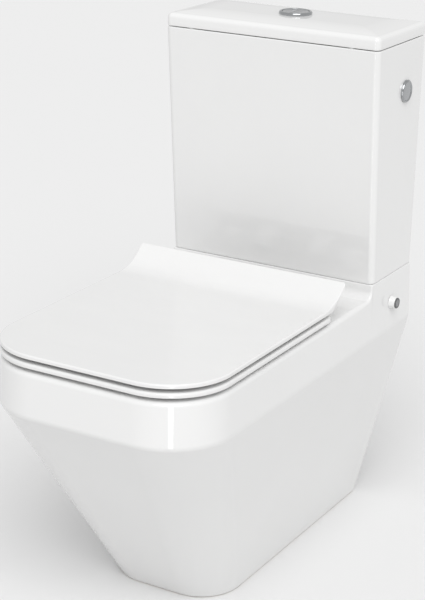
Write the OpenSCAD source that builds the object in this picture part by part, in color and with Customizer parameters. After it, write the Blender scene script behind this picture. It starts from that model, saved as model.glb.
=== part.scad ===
// Close coupled toilet: pan, cistern, soft-close seat, dual flush valve and side-entry fill valve.
// Millimetres. Origin on the floor, midway between the wall and the pan's front, +Y towards the wall.
// Inside the modules y is counted from the wall, so a point at y = -70 is 70 mm in front of it.

/* [Pan] */
// Width of the pan at the bottom of its rim band
pan_w = 360; // [340:1:440]
// Depth of the pan from the wall to its front
pan_l = 672; // [640:1:810]
// Height of the rim deck above the floor
rim_h = 398; // [380:1:480]
// Height of the upright band below the rim
band_h = 66; // [50:1:80]
// Inward lean of the band on each side, from its bottom to the rim
band_draft = 2.5; // [0:0.5:4]
// Plan radius of the band's front corners
band_r = 98; // [70:1:110]
// Width of the foot on the floor
foot_w = 198; // [170:1:244]
// Depth of the foot from the wall to its front
foot_l = 461; // [400:1:550]
// Plan radius of the foot's front corners
foot_r = 64; // [40:1:76]
// Thickness of the pan's china
pan_t = 12; // [10:1:14]
// Rounding of the rim's outer edge
rim_round = 7; // [3:0.5:9]
// Height of the cistern seat above the rim deck
seat_rise = 22.5; // [20:0.5:27]
// Radius of the hollow between the rim deck and the cistern seat
cove_r = 14; // [8:1:17]
// Width of the bowl's mouth
bowl_w = 276; // [230:1:290]
// Distance from the wall to the back of the bowl's mouth
bowl_back = 272; // [265:1:290]
// Width of the rim in front of the bowl's mouth
front_rim_w = 34; // [28:1:45]
// Height of the sump's lowest point above the floor
sump_h = 28; // [26:1:34]

/* [Trap and outlet] */
// Radius of the water passage
trap_r = 36; // [30:1:38]
// Outside radius of the outlet spigot
outlet_r = 51; // [49:0.5:55]
// Height of the outlet's centre above the floor
outlet_h = 185; // [178:1:222]
// Distance from the wall to the spigot's end
outlet_gap = 8; // [5:1:20]
// Bend radius of the trap
trap_bend = 62; // [56:1:70]
// Slope of the trap's rising leg
trap_slope = 60; // [55:1:65]

/* [Cistern] */
// Width of the cistern at its base
tank_w = 354; // [300:1:354]
// Width of the cistern at its top and of its lid
tank_top_w = 360; // [350:1:432]
// Depth of the cistern at its base
tank_d = 139; // [130:1:167]
// Depth of the cistern at its top and of its lid
tank_top_d = 166; // [160:1:175]
// Height of the cistern without its lid
tank_h = 362; // [320:1:435]
// Plan radius of the cistern's front corners
tank_r = 9; // [8:1:20]
// Thickness of the cistern's walls
tank_t = 9; // [7:1:11]
// Thickness of the cistern's base
tank_base_t = 12; // [10:1:15]
// Rounding of the cistern's lower edges
tank_edge = 3; // [1:0.5:5]
// Height of the cistern lid at its edges
lid_edge_h = 21; // [18:1:26]
// Extra height of the cistern lid in its middle
lid_crown = 4.5; // [2:0.5:8]
// Thickness of the cistern lid's china
lid_t = 9; // [8:1:11]
// Depth of the lid's locating lip inside the cistern
lid_lip_h = 14; // [10:1:20]

/* [Seat] */
// Width of the seat ring and of the seat lid
seat_w = 355; // [330:1:426]
// Gap between the pan's front and the seat's front
seat_inset = 3; // [1:1:10]
// Plan radius of the seat's front corners
seat_r = 95; // [60:1:108]
// Gap between rim and ring, and between ring and lid
seat_gap = 6; // [5:0.5:8]
// Thickness of the seat ring's edge
ring_t = 7.5; // [6:0.5:9]
// Thickness of the seat lid
lid_sheet_t = 6.5; // [5:0.5:8]
// Width of the opening in the ring
ring_open_w = 226; // [180:1:240]
// Length of the opening in the ring
ring_open_l = 292; // [230:1:300]
// Distance from the wall to the back of the ring
ring_back = 262; // [258:1:270]
// Distance from the wall to the start of the lid's upsweep
sweep_start = 303; // [298:1:312]
// Distance from the wall to the lid's raised back edge
sweep_end = 234; // [230:1:238]
// Height gained by the lid's upsweep
sweep_h = 29; // [24:1:32]
// Distance from the wall to where the lid's level underside ends
sweep_foot = 272; // [266:1:284]

/* [Seat hinge] */
// Distance between the two hinge fixings
hinge_span = 155; // [140:1:186]
// Distance from the wall to the hinge fixings
hinge_stud_y = 228; // [225:1:232]
// Distance from the wall to the hinge axis
hinge_y = 214; // [210:1:218]
// Height of the hinge axis above the rim deck
hinge_up = 27; // [26:1:32]
// Radius of the hinge pins and damper shafts
pin_r = 4; // [3.5:0.1:4.8]
// Radius of the damper cartridges
damper_r = 7; // [6.5:0.1:7.4]
// Outside radius of the hinge knuckles
knuckle_r = 10.5; // [10:0.1:12]

/* [Flush button] */
// Distance from the wall to the centre of the button
button_y = 82; // [78:1:86]
// Radius of the button's chrome ring
bezel_r = 25.5; // [24:0.5:28]
// Radius of the two half buttons together
button_r = 20.5; // [19:0.5:22]
// Height of the chrome ring above the lid
bezel_h = 4.5; // [3:0.5:6]
// Travel of each half button
press = 8; // [6:0.5:9]

/* [Cistern fittings] */
// Distance from the wall to the flush valve's axis
valve_y = 66; // [62:1:70]
// Outside radius of the flush valve's threaded tail
tail_r = 28; // [25:0.5:30]
// Distance between the two bolts that join cistern and pan
bolt_span = 170; // [160:1:204]
// Radius of those bolts
bolt_r = 4; // [3:0.5:5]
// Distance from the wall to the side inlets
inlet_y = 62; // [56:1:68]
// Height of the side inlets above the cistern's base
inlet_up = 287; // [230:1:300]
// Radius of the fill valve's threaded shank
shank_r = 10.5; // [8:0.1:12.6]
// Radius of the cap on the unused side inlet
blank_r = 17; // [15:0.5:22]
// Length of the overflow tube
overflow_l = 244; // [190:1:260]

/* [Side fixings] */
// Distance from the wall to the side fixings
fix_y = 70; // [60:1:80]
// Distance of the side fixings below the rim deck
fix_down = 23.5; // [20:0.5:30]
// Radius of the side fixings' white collars
collar_r = 10.5; // [9:0.5:12]
// Distance that the side fixings stand out
collar_out = 10; // [8:0.5:14]

/* [Hidden] */

// Clearances
run = 0.05;
slip = 0.5;
loose = 2;
hair = 0.3;
touch = 0.1;

// Smoothness of curves that are drawn as facets, and of true curves
fine = 40;
round_fn = 64;

// Heights
crease_h = rim_h - band_h;
rim_t = pan_t + 2;
seat_h = rim_h + seat_rise;
floor_in = seat_h + tank_base_t;
tank_top = seat_h + tank_h;
lid_top = tank_top + lid_edge_h;
crown_top = lid_top + lid_crown;
inlet_h = seat_h + inlet_up;
ring_z = rim_h + seat_gap;
ring_top = ring_z + ring_t;
lid_z = ring_top + seat_gap;
lid_sheet_top = lid_z + lid_sheet_t;
hinge_h = rim_h + hinge_up;
fix_h = rim_h - fix_down;

// Bowl and trap
sump_mid = sump_h + trap_r;
bowl_front = pan_l - band_draft - front_rim_w;
sump_y = 395;
rise = outlet_h - sump_mid;
trap_leg = (rise - 2 * trap_bend * (1 - cos(trap_slope))) / sin(trap_slope);
bend_y = sump_y - trap_r - 12;
weir_y = bend_y - 2 * trap_bend * sin(trap_slope) - trap_leg * cos(trap_slope);

// Width of the cistern's side at the height of the inlets, half of it
function tank_half_w(z) = (tank_w + (tank_top_w - tank_w) * (z - seat_h) / tank_h) / 2;
inlet_x = tank_half_w(inlet_h);
inlet_in_x = inlet_x - tank_t;
fix_x = pan_w / 2 - band_draft * (band_h - fix_down) / band_h;

// Flush valve
valve_base_t = 6;
gasket_t = 3;
valve_z = floor_in + gasket_t;
seat_face = valve_z + valve_base_t + 3;
cage_r = 36;
cage_top = valve_z + 200;
bridge_t = 6;
tube_r = 16;
seal_t = 4;
rod_x = 12;
rod_y = 94;
rod_r = 3;
rocker_x = 21.5;
rocker_t = 5;
rocker_arm = 14;
nose_r = 4;
rocker_pin_r = 2.5;
rocker_y = rod_y - rocker_arm;
rocker_z = cage_top + bridge_t + 14;
lug_z = rocker_z + nose_r + slip;
foot_z = rocker_z + nose_r + hair;
foot_reach = 2.6;
button_top = crown_top + bezel_h - 0.5;
button_t = 5;
slit = 0.8;
bezel_floor = crown_top - press - 8;

// Fill valve
float_x = inlet_in_x - 34;
float_top = inlet_h - 40;
float_h = 58;
float_out_r = 24;
float_in_r = 13;
column_r = 11.5;
lever_z = inlet_h + 22;
lever_arm = 30;
shank_end_x = pan_w / 2 + 18;

// Sizes that go with the pan
bowl_r = 86;
trap_t = 9;
spigot_l = 90;
bend_steps = 6;
well_r = 46;
well_h = 24;
duct_half_w = 34;
duct_floor = rim_h - 46;
stud_hole_r = 7;
screw_r = 3;
sliver = 0.1;

// Sizes that go with the cistern and its lid
lid_bottom = tank_top + 1.2;
lid_round = 8;
lid_corner = 4;
sleeve_r = button_r + hair + 1.6;
wire_r = 0.6;

// Sizes that go with the fittings
flange_r = tail_r + 12;
tail_l = 38;
backnut_r = tail_r + 10;
backnut_t = 10;
stem_x = cage_r - 8;
stem_r = 2;
rubber_t = 4;
washer_t = 1.5;
bolt_l = 52;
lever_pin_r = 2;
fill_nut_t = 7;
wall_gap = 0.25;
ear_gap = 6.5;

// Sizes that go with the side fixings
screw_l = 32;
sheet_t = 3;
wall_hole_span = 260;
wall_hole_r = 4.5;

// Sizes that go with the seat
seat_back_r = 24;
ring_open_r = 95;
ring_front_w = 62;
core_in = 14;
bumper_h = 2.5;
pad_x = 143;
post_w = 23;
knuckle_w = 30;
ring_knuckle_x = hinge_span / 2 + post_w / 2 + 2;
lid_knuckle_x = hinge_span / 2 - post_w / 2 - 2 - knuckle_w;
shaft_in = 12;
stud_r = 4;
stud_up = 3;
bush_t = 6;

module at_wall() {
    translate([0, pan_l / 2, 0]) children();
}

// The same pieces on the left and on the right
module both_sides() {
    children();
    mirror([1, 0, 0]) children();
}

module on_left() {
    mirror([1, 0, 0]) children();
}

// Cylinders along X, Y and Z, each from its first to its second place on that axis
module along_x(x1, x2, y, z, r, fn = round_fn) {
    translate([x1, y, z]) rotate([0, 90, 0]) cylinder(h = x2 - x1, r = r, $fn = fn);
}

module along_y(y1, y2, x, z, r) {
    translate([x, y1, z]) rotate([-90, 0, 0]) cylinder(h = y2 - y1, r = r, $fn = round_fn);
}

module along_z(z1, z2, x, y, r, fn = round_fn) {
    translate([x, y, z1]) cylinder(h = z2 - z1, r = r, $fn = fn);
}

// Block between two opposite corners
module bar(low, high) {
    translate(low) cube(high - low);
}

// Profile in the Y-Z plane, extruded from x1 to x2
module side_profile(x1, x2, points) {
    translate([x1, 0, 0]) rotate([90, 0, 90]) linear_extrude(x2 - x1) polygon(points);
}

// Plan outline from the wall side, -back, to the front, -front, with its own corner radii
module plan(w, back, front, r_front, r_back = 0, fn = round_fn) {
    translate([-w / 2, -(front - r_front)]) square([w, front - r_front - back - r_back]);
    translate([-(w / 2 - r_front), -front]) square([w - 2 * r_front, r_front + 1]);
    for (s = [-1, 1]) {
        translate([s * (w / 2 - r_front), -(front - r_front)]) circle(r = r_front, $fn = fn);
    }
    if (r_back > 0) {
        translate([-(w / 2 - r_back), -(back + r_back + 1)]) square([w - 2 * r_back, r_back + 1]);
        for (s = [-1, 1]) {
            translate([s * (w / 2 - r_back), -(back + r_back)]) circle(r = r_back, $fn = fn);
        }
    }
}

// Thin slice of an outline, for the hulls that join slices into a shell
module slice(z) {
    translate([0, 0, z]) linear_extrude(sliver) children();
}

// ---- Pan ----

// Outer body: foot, taper, band and rounded rim
module pan_body() {
    top_w = pan_w - 2 * band_draft;
    top_l = pan_l - band_draft;
    hull() {
        slice(0) plan(foot_w, 0, foot_l, foot_r, fn = fine);
        slice(crease_h) plan(pan_w, 0, pan_l, band_r, fn = fine);
        for (a = [0 : 30 : 90]) {
            cut = rim_round * (1 - cos(a));
            slice(rim_h - rim_round * (1 - sin(a)) - sliver)
                plan(top_w - 2 * cut, 0, top_l - cut, band_r - band_draft - cut, fn = fine);
        }
    }
}

// Hollow inside the body, open at the floor and at the wall
module pan_hollow() {
    in = pan_t + band_draft;
    hull() {
        slice(-1) plan(foot_w - 2 * pan_t, -1, foot_l - pan_t, foot_r - pan_t, fn = fine);
        slice(crease_h) plan(pan_w - 2 * pan_t, -1, pan_l - pan_t, band_r - pan_t, fn = fine);
        slice(rim_h - rim_t) plan(pan_w - 2 * in, -1, pan_l - in, band_r - in, fn = fine);
    }
}

// Block under the cistern, with a hollow curve from its front down to the rim deck
module cistern_seat() {
    foot = tank_d + cove_r;
    low = rim_h - rim_t;
    cove = [for (a = [0 : 15 : 90]) [cove_r * cos(a) - foot, rim_h + cove_r * (1 - sin(a))]];
    side_profile(-tank_w / 2, tank_w / 2,
        concat([[-foot, low], [0, low], [0, seat_h], [-tank_d, seat_h]], cove));
}

// Hollow under the cistern seat, open at the wall
module seat_hollow() {
    side = tank_w / 2 - pan_t;
    bar([-side, -(tank_d - pan_t), rim_h - rim_t - 1], [side, 1, seat_h - rim_t]);
}

// Bowl at a depth t, from 0 at the rim to 1 at the sump, grown outwards by g
module bowl_slice(t, g) {
    w = bowl_w - (bowl_w - 2 * trap_r) * pow(t, 1.8) + 2 * g;
    back = bowl_back + (sump_y - trap_r - bowl_back) * pow(t, 1.6) - g;
    front = bowl_front - (bowl_front - sump_y - trap_r) * pow(t, 1.25) + g;
    r = bowl_r - (bowl_r - trap_r) * t + g;
    slice(rim_h - sliver - (rim_h - sump_h) * t)
        plan(w, back, front, min(r, w / 2 - 1), min(r, w / 2 - 1), fine);
}

module bowl_solid(g) {
    hull() {
        for (t = [0, 0.2, 0.4, 0.6, 0.8]) {
            bowl_slice(t, g);
        }
        translate([0, -sump_y, sump_mid]) sphere(r = trap_r + g, $fn = 24);
    }
}

// Trap passage of radius r, as far as y_end: a tube swept along a level leg, a bend, the rising leg,
// the bend over the weir and a level leg. Each point of the path is [y, z, slope].
module trap_solid(r, y_end) {
    sides = 24;
    slopes = [for (i = [0 : bend_steps]) trap_slope * i / bend_steps];
    path = concat([[-sump_y, sump_mid, 0]],
        [for (a = slopes) [trap_bend * sin(a) - bend_y, sump_mid + trap_bend * (1 - cos(a)), a]],
        [for (i = [bend_steps : -1 : 0]) let (a = slopes[i])
            [-weir_y - trap_bend * sin(a), outlet_h - trap_bend * (1 - cos(a)), a]],
        [[y_end, outlet_h, 0]]);
    rings = [for (p = path, k = [0 : sides - 1]) let (b = 360 * (k + 0.5) / sides)
        [r * sin(b), p[0] - r * cos(b) * sin(p[2]), p[1] + r * cos(b) * cos(p[2])]];
    last = len(path) - 1;
    skin = [for (i = [0 : last - 1], k = [0 : sides - 1]) let (n = (k + 1) % sides)
        [i * sides + k, (i + 1) * sides + k, (i + 1) * sides + n, i * sides + n]];
    ends = [[for (k = [0 : sides - 1]) k], [for (k = [sides - 1 : -1 : 0]) last * sides + k]];
    polyhedron(points = rings, faces = concat(skin, ends), convexity = 6);
}

// Casing of the flush water's way from the cistern to the back of the bowl
module duct_casing() {
    low = duct_floor - pan_t;
    along_z(low, seat_h - 1, 0, -valve_y, well_r + pan_t);
    bar([-duct_half_w - pan_t, -(bowl_back + 8), low], [duct_half_w + pan_t, -valve_y, rim_h - 1]);
}

// The way itself: gasket well, hole and level duct
module duct_way() {
    along_z(seat_h - well_h, seat_h + 1, 0, -valve_y, well_r);
    along_z(duct_floor, seat_h, 0, -valve_y, duct_half_w);
    bar([-duct_half_w, -(bowl_back + 25), duct_floor], [duct_half_w, -valve_y, rim_h - rim_t]);
}

module pan() {
    color("white") at_wall() difference() {
        union() {
            difference() {
                union() {
                    pan_body();
                    cistern_seat();
                }
                pan_hollow();
                seat_hollow();
            }
            bowl_solid(pan_t);
            trap_solid(trap_r + trap_t, -spigot_l);
            along_y(-spigot_l - outlet_gap, -outlet_gap, 0, outlet_h, outlet_r);
            duct_casing();
        }
        bowl_solid(0);
        translate([0, 0, rim_h - 1]) linear_extrude(2) plan(bowl_w, bowl_back, bowl_front, bowl_r, bowl_r);
        trap_solid(trap_r, 0);
        duct_way();
        both_sides() {
            along_z(seat_h - rim_t - 1, seat_h + 1, bolt_span / 2, -valve_y, bolt_r + loose);
            along_z(rim_h - rim_t - 1, rim_h + 1, hinge_span / 2, -hinge_stud_y, stud_hole_r);
            along_x(fix_x - 2 * pan_t, fix_x + 5, -fix_y, fix_h, screw_r + loose);
        }
    }
}

// ---- Cistern ----

// Four corner discs, for a hull: r in front and half of it behind
module corner_discs(w, back, front, r) {
    for (s = [-1, 1]) {
        translate([s * (w / 2 - r), -(front - r)]) circle(r = r, $fn = fine);
        translate([s * (w / 2 - r / 2), -(back + r / 2)]) circle(r = r / 2, $fn = fine);
    }
}

module cistern() {
    inner_r = tank_r - tank_t / 2;
    color("white") at_wall() difference() {
        hull() {
            slice(seat_h) corner_discs(tank_w - 2 * tank_edge, tank_edge, tank_d - tank_edge, tank_r);
            slice(seat_h + tank_edge) corner_discs(tank_w, 0, tank_d, tank_r);
            slice(tank_top - sliver) corner_discs(tank_top_w, 0, tank_top_d, tank_r);
        }
        hull() {
            slice(floor_in) corner_discs(tank_w - 2 * tank_t, tank_t, tank_d - tank_t, inner_r);
            slice(tank_top) corner_discs(tank_top_w - 2 * tank_t, tank_t, tank_top_d - tank_t, inner_r);
        }
        along_z(seat_h - 1, floor_in + 1, 0, -valve_y, tail_r + loose);
        both_sides() {
            along_z(seat_h - 1, floor_in + 1, bolt_span / 2, -valve_y, bolt_r + loose);
            along_x(inlet_in_x - 5, inlet_x + 5, -inlet_y, inlet_h, shank_r + 1);
        }
    }
}

// Lid with a rounded, slightly crowned top and a lip that drops into the cistern
module cistern_lid() {
    lip_in = tank_t + loose + 0.5;
    lip_t = 6;
    lip_r = tank_r / 2;
    ceiling = crown_top - lid_t - 3;
    color("white") at_wall() difference() {
        union() {
            hull() {
                slice(lid_bottom) corner_discs(tank_top_w, 0, tank_top_d, tank_r);
                for (a = [0 : 30 : 90]) {
                    cut = lid_round * (1 - cos(a));
                    slice(lid_top - lid_round * (1 - sin(a)))
                        corner_discs(tank_top_w - 2 * cut, cut, tank_top_d - cut, max(tank_r - cut, lid_corner));
                }
                for (u = [0.35, 0.7, 1]) {
                    cut = lid_round + (button_y - bezel_r - 8 - lid_round) * u;
                    slice(lid_top + lid_crown * u * (2 - u) - sliver)
                        corner_discs(tank_top_w - 2 * cut, cut, tank_top_d - cut, lid_corner);
                }
            }
            translate([0, 0, tank_top - lid_lip_h]) linear_extrude(lid_lip_h + 5)
                plan(tank_top_w - 2 * lip_in, lip_in, tank_top_d - lip_in, lip_r, lip_r);
        }
        translate([0, 0, tank_top - lid_lip_h - 1]) linear_extrude(ceiling - tank_top + lid_lip_h + 1)
            plan(tank_top_w - 2 * (lip_in + lip_t), lip_in + lip_t, tank_top_d - lip_in - lip_t, 4, 4);
        along_z(ceiling - 1, crown_top + 1, 0, -button_y, sleeve_r + slip);
    }
}

// Thin pads on which the lid rests
module lid_buffers() {
    color("gainsboro") at_wall() for (s = [-1, 1], y = [tank_t / 2, tank_top_d - tank_t / 2]) {
        along_z(tank_top + touch, lid_bottom, s * (tank_top_w / 2 - 45), -y, tank_t / 2 - 0.5);
    }
}

// ---- Flush buttons ----

module button_bezel() {
    in = button_r + hair;
    top = crown_top + bezel_h;
    color("silver") at_wall() translate([0, -button_y, 0]) difference() {
        rotate_extrude($fn = round_fn) polygon([
            [0, bezel_floor - 2], [sleeve_r, bezel_floor - 2], [sleeve_r, crown_top], [bezel_r, crown_top],
            [bezel_r, top - 3], [bezel_r - 0.6, top - 1.2], [bezel_r - 1.8, top - 0.2], [in + 1, top],
            [in, top - 1], [in, bezel_floor], [0, bezel_floor]]);
        both_sides() along_z(bezel_floor - 3, bezel_floor + 1, rod_x, button_y - rod_y, rod_r + slip);
    }
}

module bezel_nut() {
    top = crown_top - lid_t - 3;
    color("silver") at_wall() difference() {
        along_z(top - 7, top, 0, -button_y, sleeve_r + 7, 8);
        along_z(top - 8, top + 1, 0, -button_y, sleeve_r + run);
    }
}

// Half button on the right, split from the other one along Y
module half_button() {
    color("silver") at_wall() translate([0, -button_y, 0]) intersection() {
        rotate_extrude($fn = round_fn) polygon([
            [0, button_top - button_t], [button_r, button_top - button_t], [button_r, button_top - 0.8],
            [button_r - 0.8, button_top], [0, button_top]]);
        bar([slit / 2, -button_r - 1, button_top - button_t - 1], [button_r + 1, button_r + 1, button_top + 1]);
    }
}

module full_flush_button() {
    half_button();
}

module half_flush_button() {
    on_left() half_button();
}

// Rod from a half button down to its rocker, with a foot that reaches sideways
module push_rod() {
    color("whitesmoke") at_wall() {
        along_z(foot_z, button_top - button_t, rod_x, -rod_y, rod_r);
        bar([rod_x - rod_r, -rod_y - nose_r, foot_z], [rocker_x + rocker_t / 2, -rod_y + foot_reach, foot_z + 4]);
    }
}

module full_push_rod() {
    push_rod();
}

module half_push_rod() {
    on_left() push_rod();
}

// Coil spring between the bezel's floor and a half button
function coil_point(a, low, high, r, turns) = [r * cos(a), r * sin(a), low + (high - low) * a / (360 * turns)];

module coil_spring(low, high, r, wire, turns) {
    sides = 6;
    steps = turns * 10;
    rings = [for (i = [0 : steps]) let (a = 360 * turns * i / steps, c = coil_point(a, low, high, r, turns))
        for (k = [0 : sides - 1]) let (b = 360 * k / sides)
            c + wire * [cos(b) * cos(a), cos(b) * sin(a), sin(b)]];
    skins = [for (i = [0 : steps - 1], k = [0 : sides - 1]) let (n = (k + 1) % sides)
        [i * sides + k, i * sides + n, (i + 1) * sides + n, (i + 1) * sides + k]];
    first = [for (k = [sides - 1 : -1 : 0]) k];
    last = [for (k = [0 : sides - 1]) steps * sides + k];
    polyhedron(points = rings, faces = concat(skins, [first], [last]), convexity = 4);
}

module button_spring() {
    color("silver") at_wall() translate([10, 7 - button_y, 0])
        coil_spring(bezel_floor + wire_r, button_top - button_t - wire_r, 4.5, wire_r, 5);
}

module full_button_spring() {
    button_spring();
}

module half_button_spring() {
    on_left() button_spring();
}

// ---- Flush valve ----

module at_valve() {
    at_wall() translate([0, -valve_y, 0]) children();
}

// Threaded tail, flange, valve seat, cage and the bridge that carries the rockers
module flush_valve_body() {
    bridge_r = cage_r + 6;
    bridge_top = cage_top + bridge_t;
    pivot_y = valve_y - rocker_y;
    ear_t = 3;
    color("white") at_valve() difference() {
        union() {
            rotate_extrude($fn = round_fn) polygon([
                [tail_r - 5, seat_h - tail_l], [tail_r, seat_h - tail_l], [tail_r, valve_z],
                [flange_r, valve_z], [flange_r, valve_z + valve_base_t], [tail_r, valve_z + valve_base_t],
                [tail_r - 2, seat_face], [tail_r - 5, seat_face]]);
            for (a = [45 : 90 : 315]) {
                rotate([0, 0, a]) along_z(valve_z + 1, cage_top + 1, cage_r, 0, 3.5);
            }
            along_z(cage_top, bridge_top, 0, 0, bridge_r);
            both_sides() for (x = [rocker_x - rocker_t / 2 - 1 - ear_t, rocker_x + rocker_t / 2 + 1]) {
                bar([x, pivot_y - 4, bridge_top - 1], [x + ear_t, pivot_y + 4, rocker_z + 4]);
            }
        }
        along_z(cage_top - 1, bridge_top + 1, 0, 0, tube_r + 1);
        along_z(cage_top - 1, bridge_top + 1, -stem_x, 0, stem_r + 1);
        along_x(-bridge_r, bridge_r, pivot_y, rocker_z, rocker_pin_r + run);
    }
}

module valve_base_gasket() {
    color("dimgray") at_valve() difference() {
        along_z(floor_in, valve_z, 0, 0, flange_r);
        along_z(floor_in - 1, valve_z + 1, 0, 0, tail_r + slip);
    }
}

module valve_backnut() {
    color("white") at_valve() difference() {
        along_z(seat_h - backnut_t, seat_h, 0, 0, backnut_r, 8);
        along_z(seat_h - backnut_t - 1, seat_h + 1, 0, 0, tail_r + run);
    }
}

// Foam ring that seals the cistern to the pan, round the backnut
module coupling_gasket() {
    step = seat_h - backnut_t - slip;
    color("dimgray") at_valve() rotate_extrude($fn = round_fn) polygon([
        [tail_r + 1, seat_h - well_h], [well_r - slip, seat_h - well_h], [well_r - slip, seat_h],
        [backnut_r + slip, seat_h], [backnut_r + slip, step], [tail_r + 1, step]]);
}

// Overflow tube that lifts the seal, with a collar and a lug over the full flush rocker
module overflow_tube() {
    low = seat_face + seal_t;
    color("white") at_valve() difference() {
        union() {
            along_z(low, low + overflow_l, 0, 0, tube_r);
            along_z(low, low + 5, 0, 0, tail_r - 3);
            along_z(lug_z, lug_z + 6, 0, 0, tube_r + 2);
            bar([tube_r - 2, -5, lug_z], [rocker_x + rocker_t / 2, 5, lug_z + 6]);
        }
        along_z(low - 1, low + overflow_l + 1, 0, 0, tube_r - 2.5);
    }
}

module flush_seal() {
    color("dimgray") at_valve() difference() {
        along_z(seat_face + touch, seat_face + seal_t, 0, 0, tail_r + 2);
        along_z(seat_face - 1, seat_face + seal_t + 1, 0, 0, tube_r - 2.5);
    }
}

// Rocker that turns a push into a lift
module rocker() {
    in = rocker_x - rocker_t / 2;
    out = rocker_x + rocker_t / 2;
    tip_y = 2 * rocker_arm - rod_y;
    color("lightsteelblue") at_wall() difference() {
        union() {
            along_x(in, out, -rod_y, rocker_z, nose_r);
            along_x(in, out, tip_y, rocker_z, nose_r);
            bar([in, -rod_y, rocker_z - 3], [out, tip_y, rocker_z + 3]);
            along_x(in, out, -rocker_y, rocker_z, rocker_pin_r + 2.5);
        }
        along_x(rocker_x - rocker_t, rocker_x + rocker_t, -rocker_y, rocker_z, rocker_pin_r + run);
    }
}

module full_flush_rocker() {
    rocker();
}

module half_flush_rocker() {
    on_left() rocker();
}

module rocker_pins() {
    reach = rocker_t / 2 + 4;
    color("silver") at_wall() both_sides()
        along_x(rocker_x - reach, rocker_x + reach, -rocker_y, rocker_z, rocker_pin_r);
}

// Float of the half flush: a cup round the overflow tube, and the stem that the rocker lifts
module half_flush_float() {
    top = cage_top - 40;
    low = top - 45;
    in = tube_r + 2;
    out = cage_r - 5;
    color("lightsteelblue") at_valve() {
        difference() {
            along_z(low, top, 0, 0, out);
            along_z(low - 1, top + 1, 0, 0, in);
            difference() {
                along_z(low - 1, top - 3, 0, 0, out - 2);
                along_z(low - 2, top, 0, 0, in + 2);
            }
        }
        along_z(top - 1, lug_z + 4, -stem_x, 0, stem_r);
        bar([-stem_x - 1, -3, lug_z], [-rocker_x + rocker_t / 2, 3, lug_z + 4]);
    }
}

// ---- Bolts between cistern and pan ----

module at_bolts() {
    at_wall() both_sides() translate([bolt_span / 2, -valve_y, 0]) children();
}

module coupling_bolts() {
    head_z = floor_in + rubber_t;
    color("silver") at_bolts() {
        along_z(seat_h - bolt_l, head_z + 1, 0, 0, bolt_r);
        along_z(head_z, head_z + 5, 0, 0, 2 * bolt_r, 6);
    }
}

module bolt_rubber_washers() {
    color("dimgray") at_bolts() rotate_extrude($fn = round_fn) polygon([
        [bolt_r + run, floor_in], [3 * bolt_r, floor_in], [2.4 * bolt_r, floor_in + rubber_t],
        [bolt_r + run, floor_in + rubber_t]]);
}

module bolt_steel_washers() {
    top = seat_h - rim_t;
    color("silver") at_bolts() difference() {
        along_z(top - washer_t, top, 0, 0, 2.8 * bolt_r);
        along_z(top - washer_t - 1, top + 1, 0, 0, bolt_r + hair);
    }
}

module wing_nuts() {
    top = seat_h - rim_t - washer_t;
    color("silver") at_bolts() difference() {
        union() {
            along_z(top - 8, top, 0, 0, 2 * bolt_r);
            bar([-14, -1.5, top - 14], [14, 1.5, top - 3]);
        }
        along_z(top - 15, top + 1, 0, 0, bolt_r + run);
    }
}

// ---- Fill valve, on the left ----

module at_column() {
    at_wall() on_left() translate([float_x, -inlet_y, 0]) children();
}

// Shank through the cistern's wall, arm, column and the ears of the lever, with a relief behind the nut
module fill_valve_body() {
    in = inlet_in_x - float_x;
    relief = inlet_x - float_x + wall_gap + fill_nut_t;
    color("white") at_column() difference() {
        union() {
            along_x(in - 8, shank_end_x - float_x, 0, inlet_h, shank_r);
            along_x(in - rubber_t - 4, in - rubber_t, 0, inlet_h, shank_r + 6);
            along_x(0, in - rubber_t - 2, 0, inlet_h, 9);
            along_z(float_top - float_h - 8, inlet_h + 14, 0, 0, column_r);
            for (y = [-ear_gap - 3, ear_gap]) {
                bar([-5, y, inlet_h + 13], [5, y + 3, lever_z + 5]);
            }
        }
        along_x(-5, shank_end_x - float_x + 1, 0, inlet_h, 5);
        difference() {
            along_x(relief, relief + 1.5, 0, inlet_h, shank_r + 1);
            along_x(relief - 1, relief + 3, 0, inlet_h, shank_r - 1);
        }
        along_z(float_top - float_h - 9, inlet_h, 0, 0, column_r - 4);
        along_y(-20, 20, 0, lever_z, lever_pin_r + run);
    }
}

module fill_valve_washer() {
    in = inlet_in_x - float_x;
    color("dimgray") at_column() difference() {
        along_x(in - rubber_t, in - wall_gap, 0, inlet_h, shank_r + 5);
        along_x(in - rubber_t - 1, in + 1, 0, inlet_h, shank_r + run);
    }
}

module fill_valve_nut() {
    out = inlet_x - float_x + wall_gap;
    color("white") at_column() difference() {
        along_x(out, out + fill_nut_t, 0, inlet_h, shank_r + 6, 6);
        along_x(out - 1, out + fill_nut_t + 1, 0, inlet_h, shank_r + run);
    }
}

// Float cup that slides on the column, open below, with an arm for the rod
module fill_valve_float() {
    low = float_top - float_h;
    color("whitesmoke") at_column() {
        difference() {
            along_z(low, float_top, 0, 0, float_out_r);
            along_z(low - 1, float_top + 1, 0, 0, float_in_r);
            difference() {
                along_z(low - 1, float_top - 3, 0, 0, float_out_r - 2);
                along_z(low - 2, float_top, 0, 0, float_in_r + 2);
            }
        }
        bar([-lever_arm - 4, -4, float_top - 4], [-float_out_r + 3, 4, float_top]);
    }
}

module float_rod() {
    color("silver") at_column() {
        along_z(float_top, lever_z + 9, -lever_arm, 0, 2);
        along_z(lever_z + 9, lever_z + 12, -lever_arm, 0, 4);
    }
}

// Lever with a slot for the rod
module float_lever() {
    color("lightsteelblue") at_column() difference() {
        union() {
            bar([-lever_arm - 10, -5, lever_z - 2.5], [0, 5, lever_z + 2.5]);
            along_y(-5, 5, 0, lever_z, 4.5);
        }
        bar([-lever_arm - 7, -2.8, lever_z - 4], [-lever_arm + 8, 2.8, lever_z + 4]);
        along_y(-6, 6, 0, lever_z, lever_pin_r + run);
    }
}

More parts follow.
